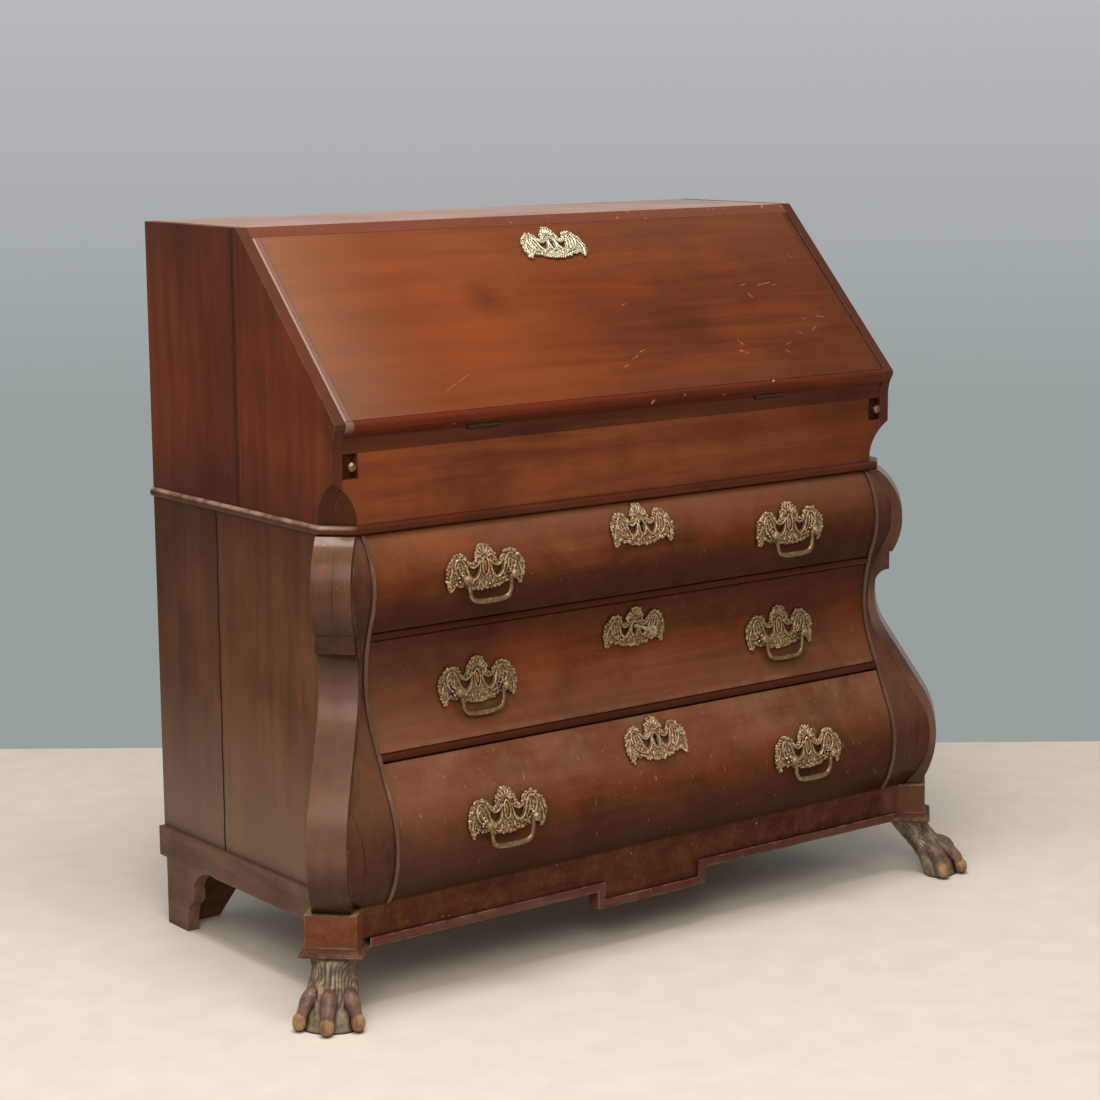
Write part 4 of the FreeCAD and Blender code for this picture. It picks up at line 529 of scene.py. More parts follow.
# Bead strips are polished by hands and shine grey.
finish(
    old_boards("bead_mahogany", "z", ("#452c1f", "#5e4333", "#7b5f4d"), rough=0.3, edge="#b59478",
               cloud_amount=0.2, polish=0.4),
    "stile_beads",
)
finish(
    old_boards("false_panel_mahogany", "x", ("#5b2d16", "#7a4023", "#8c4e2b"), rough=0.42,
               details=hollow_marks),
    "false_panel", "loper_fillers",
)
# The writing board, its well's cover and the lopers are brown and plain.
finish(
    old_boards("desk_edge_mahogany", "x", ("#3b1d12", "#522a18", "#663722"), rough=0.42),
    "writing_board", "well_cover", "loper_left", "loper_right",
)
finish(
    old_boards("pilaster_mahogany", "z", ("#3e2519", "#573726", "#6c4834"), rough=0.28, edge="#a88a72",
               edge_amount=0.8, dust=0.25, facing_dust_and_shade=0.25, polish=0.35, details=pilaster_marks),
    "corner_pilasters",
)
finish(
    old_boards("stile_mahogany", "z", ("#351d12", "#4a2b1b", "#5c3925"), rough=0.34, edge="#a0826a",
               edge_amount=0.8, dust=0.22, facing_dust_and_shade=0.35, polish=0.12, details=stile_marks),
    "front_stiles",
)
finish(
    old_boards("plinth_mahogany", "x", ("#391809", "#522611", "#67341a"), rough=0.42, dust=0.4,
               details=ledge_marks),
    "plinth_front",
)
# Blocks and collars are knocked about, with broad pale edges.
finish(
    old_boards("block_mahogany", "x", ("#4e2a18", "#6e3e28", "#835038"), rough=0.44, edge="#c0a48a",
               edge_amount=0.95, edge_width=2.6, dust=0.2, details=ledge_marks),
    "plinth_corner_blocks",
)
finish(
    old_boards("collar_mahogany", "x", ("#40211a", "#5a342a", "#735044"), rough=0.5, edge="#c4a98c",
               edge_amount=0.95, edge_width=2.4, dust=0.4),
    "plinth_lower_mouldings",
)
# Inside work is dry and dull: yellow-brown oak, red-brown gallery, grey-brown pine at the back.
finish(
    old_boards("inner_oak", "y", ("#5d432a", "#7a5b3a", "#957650"), rough=0.62, edge="#a98a62",
               cloud="#4c3623"),
    "drawer_1_box", "drawer_2_box", "drawer_3_box", "drawer_runners", "well_walls", "waist_board",
    "bottom_board",
)
finish(
    old_boards("gallery_wood", "x", ("#4c2a16", "#693c20", "#82502e"), rough=0.5),
    "gallery_boards", "fall_stops", "small_drawer_1", "small_drawer_2", "small_drawer_3",
)
finish(
    old_boards("back_plank_pine", "x", ("#4e3927", "#6a4f37", "#826548"), rough=0.7, edge="#95795a",
               cloud="#3c2b1d"),
    "lower_back_planks", "upper_back_planks", "plinth_back",
)


def carved_wood(name, tones, ridge_wear_and_highlight, hollow, rough, broken=0.6):
    """Carved and worn wood: dry streaks, pale rubbed high places that also carry a painted highlight, and
    hollows darkened as painted shade.
    """
    material, tree, coords = new_material(name)
    along = add(tree, "Mapping", {"Vector": coords, "Scale": stretched("z", 0.25)}).outputs["Vector"]
    grain = add(tree, "TexNoise", {
        "Vector": along, "Scale": 1000 / 5, "Detail": 5.0, "Roughness": 0.65, "Distortion": 0.4,
    }).outputs["Fac"]
    colour = add(tree, "ValToRGB", {"Fac": grain}, stops=zip((0.3, 0.5, 0.7), tones)).outputs["Color"]
    patches = add(tree, "TexNoise", {"Vector": coords, "Scale": 1000 / 16, "Detail": 4.0}).outputs["Fac"]
    open_sky = add(tree, "AmbientOcclusion", {"Distance": 7 * MM}, samples=6).outputs["AO"]
    # Open places get the pale of wear with a painted highlight; places hemmed in by the carving get painted
    # shade.
    colour = lay(
        tree, colour,
        (ridge_wear_and_highlight, (open_sky, 0.82, 1, 0, 1), (patches, 0.44, 0.62, 0.1, 0.85)),
        (hollow, (open_sky, 0.4, 0.85, 0.92, 0)),
    )
    bump = add(tree, "Bump", {"Height": grain, "Strength": 0.5, "Distance": broken * MM}).outputs["Normal"]
    shader = add(tree, "BsdfPrincipled", {
        "Base Color": colour, "Roughness": rough, "Normal": bump, "IOR": 1.5,
    })
    add(tree, "OutputMaterial", {"Surface": shader.outputs["BSDF"]})
    return material


# Of each carved wood's colours, the pale one is rubbed high places with a painted highlight, the dark one the
# painted shade of hollows.
paw_wood = carved_wood("carved_paw_wood", ("#3c3023", "#5b4c39", "#7b6a51"), "#8f7e61", "#1c130c", 0.5)
hair_wood = carved_wood("carved_hair_wood", ("#37291b", "#4f3d29", "#664f37"), "#b09a74", "#150d08", 0.48)
toe_wood = carved_wood(
    "carved_toe_wood", ("#37241a", "#53382a", "#6f4d3b"), "#80604d", "#180e09", 0.42, broken=1.6,
)
claw_wood = carved_wood(
    "worn_claw_wood", ("#46301f", "#755334", "#a3804f"), "#a88355", "#2c1c12", 0.6, broken=3.0,
)
finish(paw_wood, "paw_foot_left", "paw_foot_right")


# Metals

def old_metal(name, tones, recess_colour, metallic, rough, hollow=4):
    """Old cast or forged metal: pale rubbed high places, brown dull recesses, uneven skin."""
    material, tree, coords = new_material(name)
    skin = add(tree, "TexNoise", {
        "Vector": coords, "Scale": 1000 / 6, "Detail": 4.0, "Roughness": 0.65,
    }).outputs["Fac"]
    colour = add(tree, "ValToRGB", {"Fac": skin}, stops=zip((0.3, 0.5, 0.7), tones)).outputs["Color"]
    shade = add(tree, "AmbientOcclusion", {"Distance": hollow * MM}, samples=6).outputs["AO"]
    colour = lay(tree, colour, (recess_colour, (shade, 0.35, 0.85, 0.92, 0)))
    bump = add(tree, "Bump", {"Height": skin, "Strength": 0.35, "Distance": 0.5 * MM}).outputs["Normal"]
    dull = add(tree, "MapRange", {
        "Value": skin, "From Min": 0.3, "From Max": 0.7, "To Min": rough + 0.1, "To Max": rough - 0.06,
    }).outputs["Result"]
    shader = add(tree, "BsdfPrincipled", {
        "Base Color": colour, "Metallic": metallic, "Roughness": dull, "Normal": bump,
    })
    add(tree, "OutputMaterial", {"Surface": shader.outputs["BSDF"]})
    return material


# Relief is yellow-brown, duller on the middle drawer and rubbed almost white on the fall; bails are darker.
brass = old_metal("old_cast_brass", ("#75583b", "#9f805b", "#d3be9b"), "#28180d", 0.4, 0.38)
pale_brass = old_metal("rubbed_cast_brass", ("#b1a485", "#cdc4aa", "#e3decc"), "#4a3a26", 0.6, 0.36)
knob_brass = old_metal("rubbed_knob_brass", ("#a08d6b", "#c2b18f", "#e4d9be"), "#3a2a1a", 0.45, 0.36)
warm_brass = old_metal("warm_cast_brass", ("#7a4c26", "#966032", "#b07a46"), "#3a2412", 0.5, 0.36)
dark_brass = old_metal("dull_cast_brass", ("#6c5538", "#927652", "#bea67f"), "#24170d", 0.4, 0.42)
bail_brass = old_metal("handled_brass", ("#5a452d", "#7d6543", "#a08b60"), "#2c2014", 0.75, 0.32)
iron = old_metal("dark_iron", ("#2c201a", "#3c2d24", "#4d3b30"), "#17100c", 0.6, 0.5)
finish(brass, "fall_lock")
finish(pale_brass, "fall_escutcheon")
finish(bail_brass, "loper_knob_left", "loper_knob_right")
finish(iron, "fall_hinge_leaves", "desk_hinge_leaves")
# The plates behind the relief are darkened as painted shade so that they read as hollows, and the key is
# bright worn steel.
finish(
    old_metal("plate_brass_darkened_as_shade", ("#604a30", "#82694a", "#ab9470"), "#22150c", 0.4, 0.45, hollow=12),
    "drawer_1_mounts", "drawer_2_mounts", "drawer_3_mounts",
)
finish(old_metal("worn_key_steel", ("#85755c", "#a9977a", "#cfbfa2"), "#2e241a", 0.35, 0.34), "key")


# Making pieces

def link_piece(name, mesh, materials, body, replaced=()):
    """Make a piece in metres from a bmesh in millimetres and let it ride on a body."""
    bmesh.ops.transform(mesh, matrix=Matrix.Scale(MM, 4), verts=mesh.verts)
    data = bpy.data.meshes.new(name)
    mesh.to_mesh(data)
    mesh.free()
    data.shade_smooth()
    for material in materials:
        data.materials.append(material)
    thing = bpy.data.objects.new(name, data)
    scene.collection.objects.link(thing)
    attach(thing, body)
    if replaced:
        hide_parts(*replaced)


def add_bars(mesh, paths, roundness, material=0):
    """Sweep round bars along smooth paths of (x, y, z, radius) into a bmesh."""
    data = bpy.data.curves.new("bars", "CURVE")
    data.dimensions = "3D"
    data.bevel_depth = 1.0
    data.bevel_resolution = roundness
    data.use_fill_caps = True
    for path in paths:
        line = data.splines.new("NURBS")
        line.points.add(len(path) - 1)
        for spot, (x, y, z, radius) in zip(line.points, path):
            spot.co = (x, y, z, 1)
            spot.radius = radius
        line.order_u = 3
        line.use_endpoint_u = True
        line.resolution_u = 4
    holder = bpy.data.objects.new("bars", data)
    scene.collection.objects.link(holder)
    bpy.context.view_layer.update()
    made = bpy.data.meshes.new_from_object(holder.evaluated_get(bpy.context.evaluated_depsgraph_get()))
    bpy.data.objects.remove(holder)
    bpy.data.curves.remove(data)
    start = len(mesh.faces)
    mesh.from_mesh(made)
    bpy.data.meshes.remove(made)
    mesh.faces.ensure_lookup_table()
    for face in mesh.faces[start:]:
        face.material_index = material


def new_dome(around, up):
    """A round bead of radius 1 as mesh data, to be copied into other meshes."""
    mesh = bmesh.new()
    bmesh.ops.create_uvsphere(mesh, u_segments=around, v_segments=up, radius=1)
    data = bpy.data.meshes.new("dome")
    mesh.to_mesh(data)
    mesh.free()
    return data


small_dome = new_dome(8, 5)
large_dome = new_dome(16, 10)


def add_dome(mesh, dome, shape, material=0):
    """Copy a dome into a bmesh, shaped by a matrix."""
    copy = dome.copy()
    copy.transform(shape)
    for face in copy.polygons:
        face.material_index = material
    mesh.from_mesh(copy)
    bpy.data.meshes.remove(copy)


def add_lobe(mesh, place, size, turn, material=0):
    """One cast bead or leaf: a flattened dome, half sunk in what carries it."""
    shape = Matrix.LocRotScale(Vector(place), Matrix.Rotation(turn, 3, "Z"), Vector(size))
    add_dome(mesh, small_dome, shape, material)


# Cast brass: shell crest, leafy wings with tails, swags over pierced crescents and a beaded belly

# Half the outline in half widths and heights, with how far each side bows out
PLATE_EDGE = (
    (0.0, 0.5, 0.0), (0.17, 0.38, 0.7), (0.26, 0.16, 0.6), (0.36, 0.06, 0.0), (0.46, 0.2, 0.0),
    (0.63, 0.32, 0.65), (0.86, 0.2, 0.65), (1.0, -0.06, 0.6), (0.97, -0.36, 0.4), (0.89, -0.5, 0.6),
    (0.77, -0.33, 0.0), (0.52, -0.38, 0.6), (0.26, -0.47, 0.55), (0.0, -0.5, 0.4),
)
# Scrolls and swags of one half, each point with its radius in millimetres
WING_BARS = (
    ((0.13, 0.06, 1.0), (0.15, -0.16, 1.7), (0.31, -0.31, 1.9), (0.47, -0.16, 1.8), (0.5, 0.04, 1.6),
     (0.57, 0.2, 1.0)),
    ((0.36, -0.33, 1.0), (0.58, -0.31, 1.8), (0.75, -0.14, 2.0), (0.81, 0.06, 1.9), (0.72, 0.23, 1.7),
     (0.59, 0.23, 1.4), (0.57, 0.12, 1.0)),
    ((0.53, -0.2, 0.9), (0.61, -0.02, 1.4), (0.62, 0.14, 1.0)),
    ((0.62, -0.22, 0.9), (0.71, -0.02, 1.4), (0.69, 0.13, 1.0)),
    ((0.08, 0.14, 1.2), (0.2, 0.05, 1.8), (0.31, -0.01, 2.0), (0.42, 0.05, 1.8), (0.48, 0.15, 1.2)),
    ((0.85, 0.02, 1.2), (0.94, -0.16, 1.8), (0.93, -0.34, 1.7), (0.88, -0.47, 1.0)),
    ((0.08, 0.27, 1.2), (0.2, 0.27, 1.6), (0.25, 0.15, 1.6), (0.17, 0.08, 1.3), (0.13, 0.16, 0.9)),
)
PULL_SIZE = (137, 64)
ESCUTCHEON_SIZE = (116, 59)
RIM_STEP = 3.2
FILL_STEP = 4.4
RIM_WIDTH = 4.6
POST_ACROSS = 42
KNOB_ACROSS = 43
POST_DROP = 14


def plate_rim(width, height):
    """Points round the right half of a plate's outline with their outward directions."""
    spots = []
    for (x0, y0, _), (x1, y1, bow) in zip(PLATE_EDGE, PLATE_EDGE[1:]):
        start = Vector((x0 * width / 2, y0 * height))
        run = Vector((x1 * width / 2, y1 * height)) - start
        out = Vector((-run.y, run.x)).normalized()
        swell = run.length / (2 * bow) * (1 - math.sqrt(1 - bow * bow)) if bow else 0
        count = max(1, round(run.length / RIM_STEP))
        for index in range(count):
            share = (index + 0.5) / count
            spots.append((start + run * share + out * swell * 4 * share * (1 - share), out))
    return spots


def inside(point, loop):
    """Whether a point lies inside a closed loop."""
    odd = False
    for a, b in zip(loop, loop[1:] + loop[:1]):
        if (a.y > point.y) != (b.y > point.y):
            if point.x < a.x + (b.x - a.x) * (point.y - a.y) / (b.y - a.y):
                odd = not odd
    return odd


def left_bare(x, y, width, height, pull):
    """Whether a place is a pierced crescent, the boss or keyhole in the middle, or a bail's post."""
    if ((abs(x) / (width / 2) - 0.31) / 0.17) ** 2 + ((y / height + 0.07) / 0.19) ** 2 < 1:
        return True
    if (x / 8) ** 2 + ((y + (0 if pull else 4)) / (16 if pull else 12)) ** 2 < 1:
        return True
    return pull and math.hypot(abs(x) - POST_ACROSS, y + POST_DROP) < 7


def cast_ornament(size, pull, seed):
    """The relief of one plate as (across, up, out) points, out from the plate's face."""
    width, height = size
    chance = random.Random(seed)
    mesh = bmesh.new()
    right = plate_rim(width, height)
    loop = [spot for spot, _ in right] + [Vector((-spot.x, spot.y)) for spot, _ in reversed(right)]
    for spot, out in right:
        along = Vector((-out.y, out.x))
        for sign in (-1, 1):
            for back in (0.4, 2.6):
                bead = spot - out * (back + chance.uniform(-0.9, 0.9)) + along * chance.uniform(-1.2, 1.2)
                thick = chance.uniform(1.1, 2.3)
                long = thick * chance.uniform(1.0, 1.6)
                add_lobe(mesh, (bead.x * sign, bead.y, chance.uniform(-0.6, 1.0)),
                         (long, thick, thick * chance.uniform(0.9, 1.4)), chance.uniform(0, math.pi))
    rows = int(height / FILL_STEP)
    columns = int(width / FILL_STEP)
    for row in range(rows + 1):
        for column in range(columns + 1):
            x = (column / columns - 0.5) * width + chance.uniform(-1.5, 1.5)
            y = (row / rows - 0.5) * height + chance.uniform(-1.5, 1.5)
            point = Vector((x, y))
            if not inside(point, loop) or min((point - edge).length for edge in loop) < RIM_WIDTH:
                continue
            if left_bare(x, y, width, height, pull):
                continue
            thick = chance.uniform(1.1, 2.0)
            add_lobe(mesh, (x, y, chance.uniform(-0.6, 0.4)),
                     (thick * chance.uniform(1.0, 1.6), thick, thick * 1.1), chance.uniform(0, math.pi))
    # The shell of the crest, then the leaves of the belly
    for fan in range(-3, 4):
        turn = math.pi / 2 + fan * 0.42
        middle = Vector((0, height * 0.2)) + Vector((math.cos(turn), math.sin(turn))) * height * 0.17
        add_lobe(mesh, (middle.x, middle.y, 0), (height * 0.115, 2.4, 3.4), turn)
    for fan in range(-5, 6):
        turn = -math.pi / 2 + fan * 0.2
        middle = Vector((0, height * 0.55)) + Vector((math.cos(turn), math.sin(turn))) * height * 0.94
        add_lobe(mesh, (middle.x, middle.y, 0), (height * 0.075, 2.2, 2.8), turn + chance.uniform(-0.3, 0.3))
    paths = []
    for sign in (-1, 1):
        for bar in WING_BARS:
            paths.append([(x * width / 2 * sign, y * height, 1.0, radius) for x, y, radius in bar])
    centre, across, tall = (0.01 * height, 5.6, 13.5) if pull else (-4.0, 6.6, 11.5)
    ring = []
    for index in range(15):
        turn = math.pi / 2 + index * math.pi / 6
        ring.append((across * math.cos(turn), centre + tall * math.sin(turn), 1.2, 1.6))
    paths.append(ring)
    add_bars(mesh, paths, roundness=1)
    if pull:
        # A warm boss in the middle, and a knob ringed with beads round each post
        add_lobe(mesh, (0, centre, 0.2), (10.5, 3.4, 2.6), math.pi / 2, material=1)
        for sign in (-1, 1):
            add_lobe(mesh, (KNOB_ACROSS * sign, -POST_DROP, 11.5), (5.0, 4.6, 4.4), 0, material=2)
            for bead in range(7):
                turn = bead * math.tau / 7 + chance.uniform(-0.2, 0.2)
                reach = chance.uniform(4.6, 6.2)
                place = (KNOB_ACROSS * sign + reach * math.cos(turn), reach * math.sin(turn) - POST_DROP,
                         chance.uniform(1, 8))
                add_lobe(mesh, place, (2.0, 1.8, 2.4), turn, material=2)
    return mesh


def carry(mesh, place):
    """Move every point of a relief to where its plate lies."""
    for vert in mesh.verts:
        vert.co = place(*vert.co)


# How far the plates' faces stand out, where the plates sit, and where the bails hang
PLATE_OUT = 3.3
LID_PLATE_UP = 312.06
LID_PLATE_OUT = 25.4
PULL_HEIGHTS = {1: 618, 2: 448, 3: 263.5}
KEYHOLE_HEIGHTS = {1: 647, 2: 487, 3: 321}
PULL_ACROSS = 298
BAIL_OUT = 15.3
# The middle drawer's bails rest on its sloping front, a few degrees out
BAIL_TILT = {1: 0, 2: 6, 3: 0}
# Half a bail from its post to its middle: across, up and radius
BAIL_HALF = (
    (46, 0, 2.8), (40, 0.3, 2.8), (37.6, -1.5, 2.9), (37.4, -8, 3.0), (36.8, -17, 3.2), (35, -26, 3.5),
    (30, -32, 3.8), (20, -34, 4.0), (9, -34.4, 4.4), (0, -34.6, 4.5),
)
BAIL = BAIL_HALF + tuple((-x, drop, radius) for x, drop, radius in reversed(BAIL_HALF[:-1]))


def on_front(middle, height):
    """Where a plate's points lie on the bombe front."""
    def place(across, up, out):
        return Vector((middle + across, BACK - front_depth(height + up) - PLATE_OUT - out, height + up))
    return place


def on_fall(across, up, out):
    """Where the fall's escutcheon lies."""
    return on_lid(across, LID_PLATE_UP + up, LID_PLATE_OUT + out)


def drawer_brasses(number):
    """The relief of a drawer's two pulls and escutcheon, and its two cast bails."""
    drawer = f"drawer_{number}"
    metal = dark_brass if number == 2 else brass
    height = PULL_HEIGHTS[number]
    axis_height = height - POST_DROP
    axis_depth = front_depth(axis_height) + BAIL_OUT
    tilt = math.radians(BAIL_TILT[number])
    for side, sign in (("left", -1), ("right", 1)):
        mesh = cast_ornament(PULL_SIZE, True, 10 * number + sign)
        carry(mesh, on_front(PULL_ACROSS * sign, height))
        link_piece(f"{drawer}_pull_relief_{side}", mesh, (metal, warm_brass, knob_brass), drawer)
        path = []
        for x, drop, radius in BAIL:
            out = -drop * math.sin(tilt)
            up = axis_height + drop * math.cos(tilt)
            path.append((PULL_ACROSS * sign + x, BACK - axis_depth - out, up, radius))
        mesh = bmesh.new()
        add_bars(mesh, (path,), roundness=4)
        bail = f"{drawer}_bail_{side}"
        link_piece(f"{drawer}_cast_bail_{side}", mesh, (bail_brass,), bail, (bail,))
    mesh = cast_ornament(ESCUTCHEON_SIZE, False, 50 + number)
    carry(mesh, on_front(0, KEYHOLE_HEIGHTS[number]))
    link_piece(f"{drawer}_escutcheon_relief", mesh, (metal,), drawer)


for number in (1, 2, 3):
    drawer_brasses(number)
lid_relief = cast_ornament(ESCUTCHEON_SIZE, False, 70)
# A dark iron slot over the keyhole stands for its shadowed opening: painted shade.
add_lobe(lid_relief, (0, -4, 0.2), (7.5, 1.9, 0.9), math.pi / 2, material=1)
carry(lid_relief, on_fall)
link_piece("fall_escutcheon_relief", lid_relief, (pale_brass, iron), "fall")


# Carved paws: a leg with wavy locks of hair, three toes with hollows between them, and worn claws

# Height of each level of the leg, its reach along the diagonal, half width and half depth
LEG_LEVELS = (
    (93, 39, 38, 31), (86, 42, 34.5, 29.5), (76, 49, 31.5, 28), (64, 60, 32.5, 27.5), (52, 72, 35, 27.5),
    (40, 83, 37.5, 28), (24, 94, 40, 28), (0, 102, 41, 27),
)
LEG_TOP = 93
LEG_STEP = 3
LOCKS = 26
LOCK_DEPTH = 4.6
LOCKS_END = 44
HAIR_END = 34
# An outer toe from its root over the knuckle to its claw: height, reach, sideways spread and radius
TOE = (
    (50, 70, 20, 5), (48, 84, 25, 10.5), (42, 97, 29, 13), (35, 104, 32, 12.6), (28, 108, 35.5, 10),
    (23, 110, 37.5, 9.2), (16, 112, 40, 9.6), (10, 113, 41, 9.6), (5, 114, 42, 8.5),
)
TOE_ROOT = 50
MIDDLE_LEAD = 20
CLAW_SPREAD, CLAW_REACH, CLAW_HEIGHT = 41.5, 116, 13.6
CLAW_SIZE = (10.4, 10.2, 13.8)
CLAW_LEAN = 0.25
# The paws are set one by one: how far each turns towards the front, in degrees, about a point of its diagonal
PAW_TURN = {"left": 4, "right": 15}
PAW_PIVOT = 45


def corner_axes():
    """Across, reach and up in the left corner's diagonal frame, as columns."""
    start = at_corner(0, 0, 0)
    return Matrix((at_corner(1, 0, 0) - start, at_corner(0, 1, 0) - start, (0, 0, 1))).transposed()


CORNER = corner_axes()


def leg_size(height):
    """Reach, half width and half depth of the leg at a height."""
    for upper, lower in zip(LEG_LEVELS, LEG_LEVELS[1:]):
        if height >= lower[0]:
            share = (upper[0] - height) / (upper[0] - lower[0])
            share = share * share * (3 - 2 * share) * 0.35 + share * 0.65
            return tuple(upper[k] + (lower[k] - upper[k]) * share for k in (1, 2, 3))


def lock_depth(turn, height):
    """How far the carved locks stand out of the leg at an angle and a height."""
    share = 1 - height / LEG_TOP
    lean = -0.6 * min(1, max(0, (share - 0.05) / 0.5)) ** 1.3
    wave = 0.18 * math.sin(10 * share + 2.2 * turn) + 0.08 * math.sin(5 * turn + 3 * share)
    strand = LOCKS / 2 * (turn + lean + wave)
    deep = LOCK_DEPTH * min(1, 0.25 + share * 7)
    deep *= 1 if height > LOCKS_END else max(0.15, 1 - (LOCKS_END - height) / 20)
    deep *= 0.8 + 0.3 * math.sin(7 * turn + 9 * share)
    broad = abs(math.sin(strand)) ** 0.75
    thin = abs(math.sin(strand * 2 + 0.6))
    return deep * (0.75 * broad + 0.25 * thin - 0.55)


def leg_ring(height):
    """The matrix that takes a round of radius 1 to the leg's outline at a height."""
    reach, half, deep = leg_size(height)
    place = Matrix.LocRotScale(at_corner(0, reach, height), None, None)
    return place @ CORNER.to_4x4() @ Matrix.Diagonal((half, deep, 1, 1))


def carved_paw():
    """The left paw in millimetres, pointing along its diagonal."""
    mesh = bmesh.new()
    ring = bmesh.ops.create_circle(
        mesh, cap_ends=True, segments=LOCKS * 8, radius=1, matrix=leg_ring(LEG_TOP),
    )["verts"]
    edges = list({edge for vert in ring for edge in vert.link_edges})
    height = LEG_TOP
    while height > 0:
        lower = max(0, height - LEG_STEP)
        made = bmesh.ops.extrude_edge_only(mesh, edges=edges)["geom"]
        ring = [piece for piece in made if isinstance(piece, bmesh.types.BMVert)]
        edges = [piece for piece in made if isinstance(piece, bmesh.types.BMEdge)]
        bmesh.ops.transform(mesh, matrix=leg_ring(lower) @ leg_ring(height).inverted(), verts=ring)
        height = lower
    edges = [edge for edge in edges if all(vert in ring for vert in edge.verts)]
    bmesh.ops.contextual_create(mesh, geom=edges)
    origin = at_corner(0, 0, 0)
    for vert in mesh.verts:
        across, along, tall = CORNER.transposed() @ (vert.co - origin)
        reach, half, deep = leg_size(max(0, tall))
        turn = math.atan2((along - reach) / deep, across / half)
        vert.co += CORNER @ Vector((math.cos(turn), math.sin(turn), 0)) * lock_depth(turn, tall)
    for face in mesh.faces:
        face.material_index = 1 if face.calc_center_median().z > HAIR_END else 0
    bmesh.ops.recalc_face_normals(mesh, faces=mesh.faces)
    toes = []
    for side, lead in ((-1, 0), (0, MIDDLE_LEAD), (1, 0)):
        toes.append([
            (*at_corner(spread * side, reach + lead * min(1, (TOE_ROOT - tall) / 22), tall), thick)
            for tall, reach, spread, thick in TOE
        ])
        tip = at_corner(CLAW_SPREAD * side, CLAW_REACH + lead, CLAW_HEIGHT)
        claw = Matrix.LocRotScale(tip, None, None) @ CORNER.to_4x4()
        claw = claw @ Matrix.Rotation(CLAW_LEAN, 4, "X") @ Matrix.Diagonal((*CLAW_SIZE, 1))
        add_dome(mesh, large_dome, claw, 3)
    add_bars(mesh, toes, roundness=4, material=2)
    bmesh.ops.recalc_face_normals(mesh, faces=mesh.faces)
    return mesh


for side in ("left", "right"):
    paw = carved_paw()
    turn = Matrix.Rotation(math.radians(PAW_TURN[side]), 3, "Z")
    bmesh.ops.rotate(paw, cent=at_corner(0, PAW_PIVOT, 0), matrix=turn, verts=paw.verts)
    if side == "right":
        bmesh.ops.transform(paw, matrix=Matrix.Diagonal((-1, 1, 1, 1)), verts=paw.verts)
        bmesh.ops.recalc_face_normals(paw, faces=paw.faces)
    finishes = (paw_wood, hair_wood, toe_wood, claw_wood)
    link_piece(f"carved_paw_{side}", paw, finishes, "carcase", (f"paw_foot_{side}",))


# Floor, background, lamps and camera, in metres

YAW = 0.652
PITCH = 0.175
ROLL = -0.007
EYE = Vector((-2.5059, -3.2643, 1.3061))
LENS = 86.34
FLOOR_END = 5.14
FLOOR_HALF_WIDTH, FLOOR_HALF_DEPTH = 9, 6


def lay_floor():
    """A pale mottled floor that ends in a straight line across the picture."""
    ahead = Vector((math.sin(YAW), math.cos(YAW), 0))
    aside = Vector((math.cos(YAW), -math.sin(YAW), 0))
    middle = EYE.xy.to_3d() + ahead * FLOOR_END - ahead * FLOOR_HALF_DEPTH
    turn = Matrix((aside, ahead, (0, 0, 1))).transposed().to_4x4()
    size = Matrix.Diagonal((FLOOR_HALF_WIDTH, FLOOR_HALF_DEPTH, 1, 1))
    mesh = bmesh.new()
    bmesh.ops.create_grid(mesh, x_segments=2, y_segments=2, size=1)
    bmesh.ops.transform(mesh, matrix=Matrix.Translation(middle) @ turn @ size, verts=mesh.verts)
    data = bpy.data.meshes.new("floor")
    mesh.to_mesh(data)
    mesh.free()
    floor = bpy.data.objects.new("floor", data)
    scene.collection.objects.link(floor)
    material, tree, coords = new_material("pale_floor")
    mottle = add(tree, "TexNoise", {"Vector": coords, "Scale": 1000 / 60, "Detail": 4.0}).outputs["Fac"]
    colour = add(tree, "ValToRGB", {
        "Fac": mottle,
    }, stops=((0.35, "#d8d1c6"), (0.65, "#ded7cc"))).outputs["Color"]
    shader = add(tree, "BsdfPrincipled", {"Base Color": colour, "Roughness": 0.6})
    add(tree, "OutputMaterial", {"Surface": shader.outputs["BSDF"]})
    data.materials.append(material)


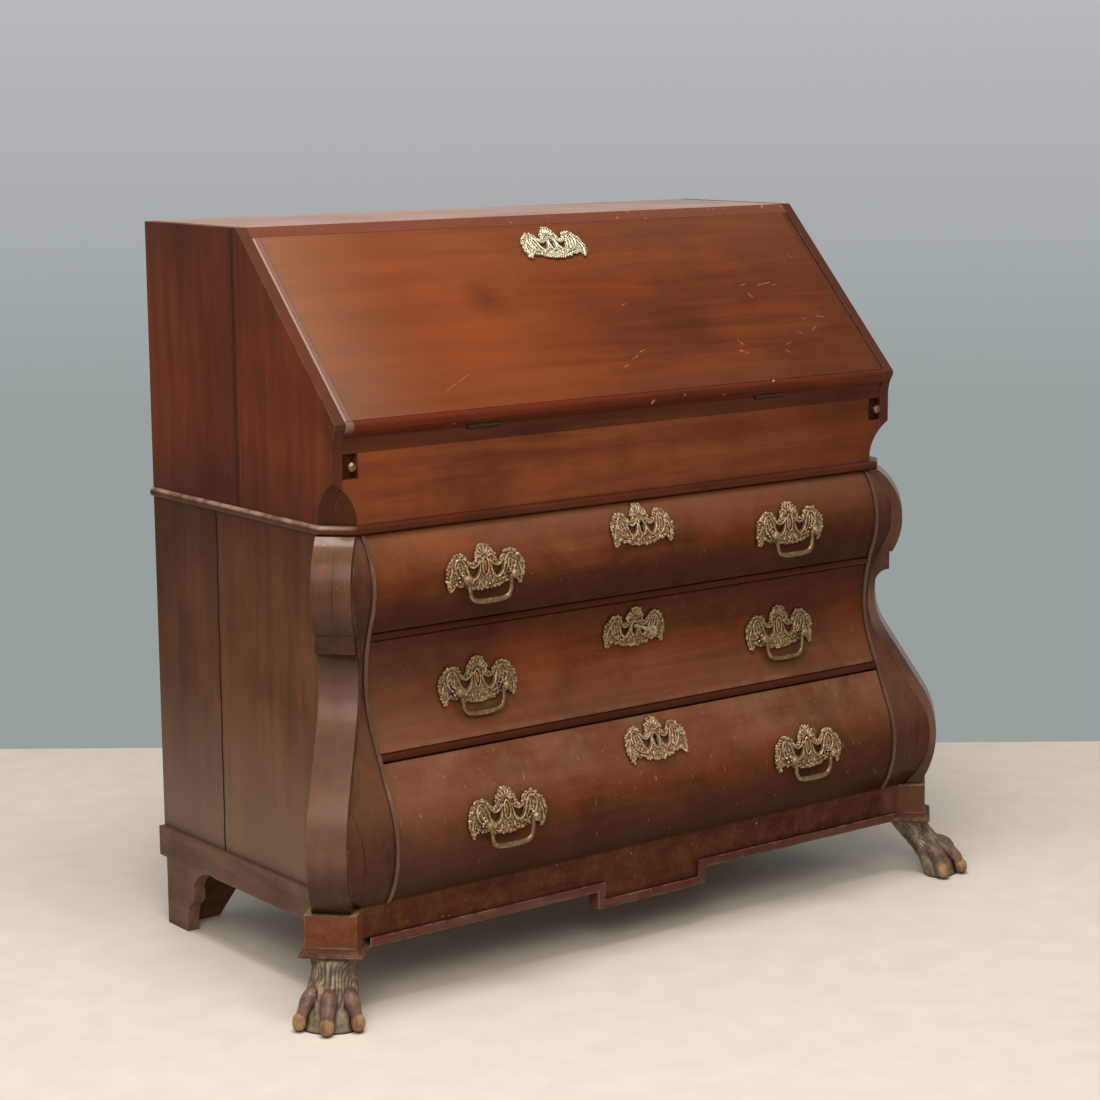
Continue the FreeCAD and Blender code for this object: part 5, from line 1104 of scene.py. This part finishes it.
def light_background():
    """A grey wall, paler towards the top, for the eye and in reflections; soft fill light for the rest."""
    world = bpy.data.worlds.new("studio")
    scene.world = world
    world.use_nodes = True
    tree = world.node_tree
    tree.nodes.clear()
    path = add(tree, "LightPath").outputs
    seen = path["Is Camera Ray"]
    for ray in ("Is Glossy Ray", "Is Transmission Ray"):
        seen = add(tree, "Math", {0: seen, 1: path[ray]}, operation="MAXIMUM").outputs["Value"]
    sky = add(tree, "TexCoord").outputs["Generated"]
    rise = add(tree, "SeparateXYZ", {"Vector": sky}).outputs["Z"]
    share = add(tree, "MapRange", {"Value": rise, "From Min": -0.12, "From Max": 0.06}).outputs["Result"]
    colour = add(tree, "ValToRGB", {
        "Fac": share,
    }, stops=((0.0, "#989f9f"), (1.0, "#bbc0c3"))).outputs["Color"]
    wall = add(tree, "Background", {"Color": colour}).outputs["Background"]
    fill = add(tree, "Background", {"Color": linear("#f2efe9"), "Strength": 0.4}).outputs["Background"]
    mix = add(tree, "MixShader", {"Fac": seen, 1: fill, 2: wall}).outputs["Shader"]
    add(tree, "OutputWorld", {"Surface": mix})


def lamp(name, place, target, size, watts, colour):
    """A soft rectangular lamp."""
    light = bpy.data.lights.new(name, "AREA")
    light.shape = "RECTANGLE"
    light.size, light.size_y = size
    light.energy = watts
    light.color = linear(colour)[:3]
    thing = bpy.data.objects.new(name, light)
    thing.location = place
    thing.rotation_euler = (Vector(target) - Vector(place)).to_track_quat("-Z", "Y").to_euler()
    scene.collection.objects.link(thing)


def set_camera():
    """The photograph's viewpoint."""
    data = bpy.data.cameras.new("camera")
    data.sensor_width = 36
    data.lens = LENS
    camera = bpy.data.objects.new("camera", data)
    level = math.cos(PITCH)
    forward = Vector((math.sin(YAW) * level, math.cos(YAW) * level, -math.sin(PITCH)))
    right = Vector((math.cos(YAW), -math.sin(YAW), 0))
    up = right.cross(forward)
    tilted_right = math.cos(ROLL) * right + math.sin(ROLL) * up
    tilted_up = math.cos(ROLL) * up - math.sin(ROLL) * right
    turn = Matrix((tilted_right, tilted_up, -forward)).transposed().to_4x4()
    camera.matrix_world = Matrix.Translation(EYE) @ turn
    scene.collection.objects.link(camera)
    scene.camera = camera


lay_floor()
light_background()
lamp("overhead", (-0.55, -0.5, 3.4), (0, -0.1, 0.4), (1.9, 1.0), 84, "#fff8ee")
lamp("key", (-2.4, -2.6, 2.6), (0, 0, 0.55), (2.2, 1.8), 77, "#fff7ec")
set_camera()
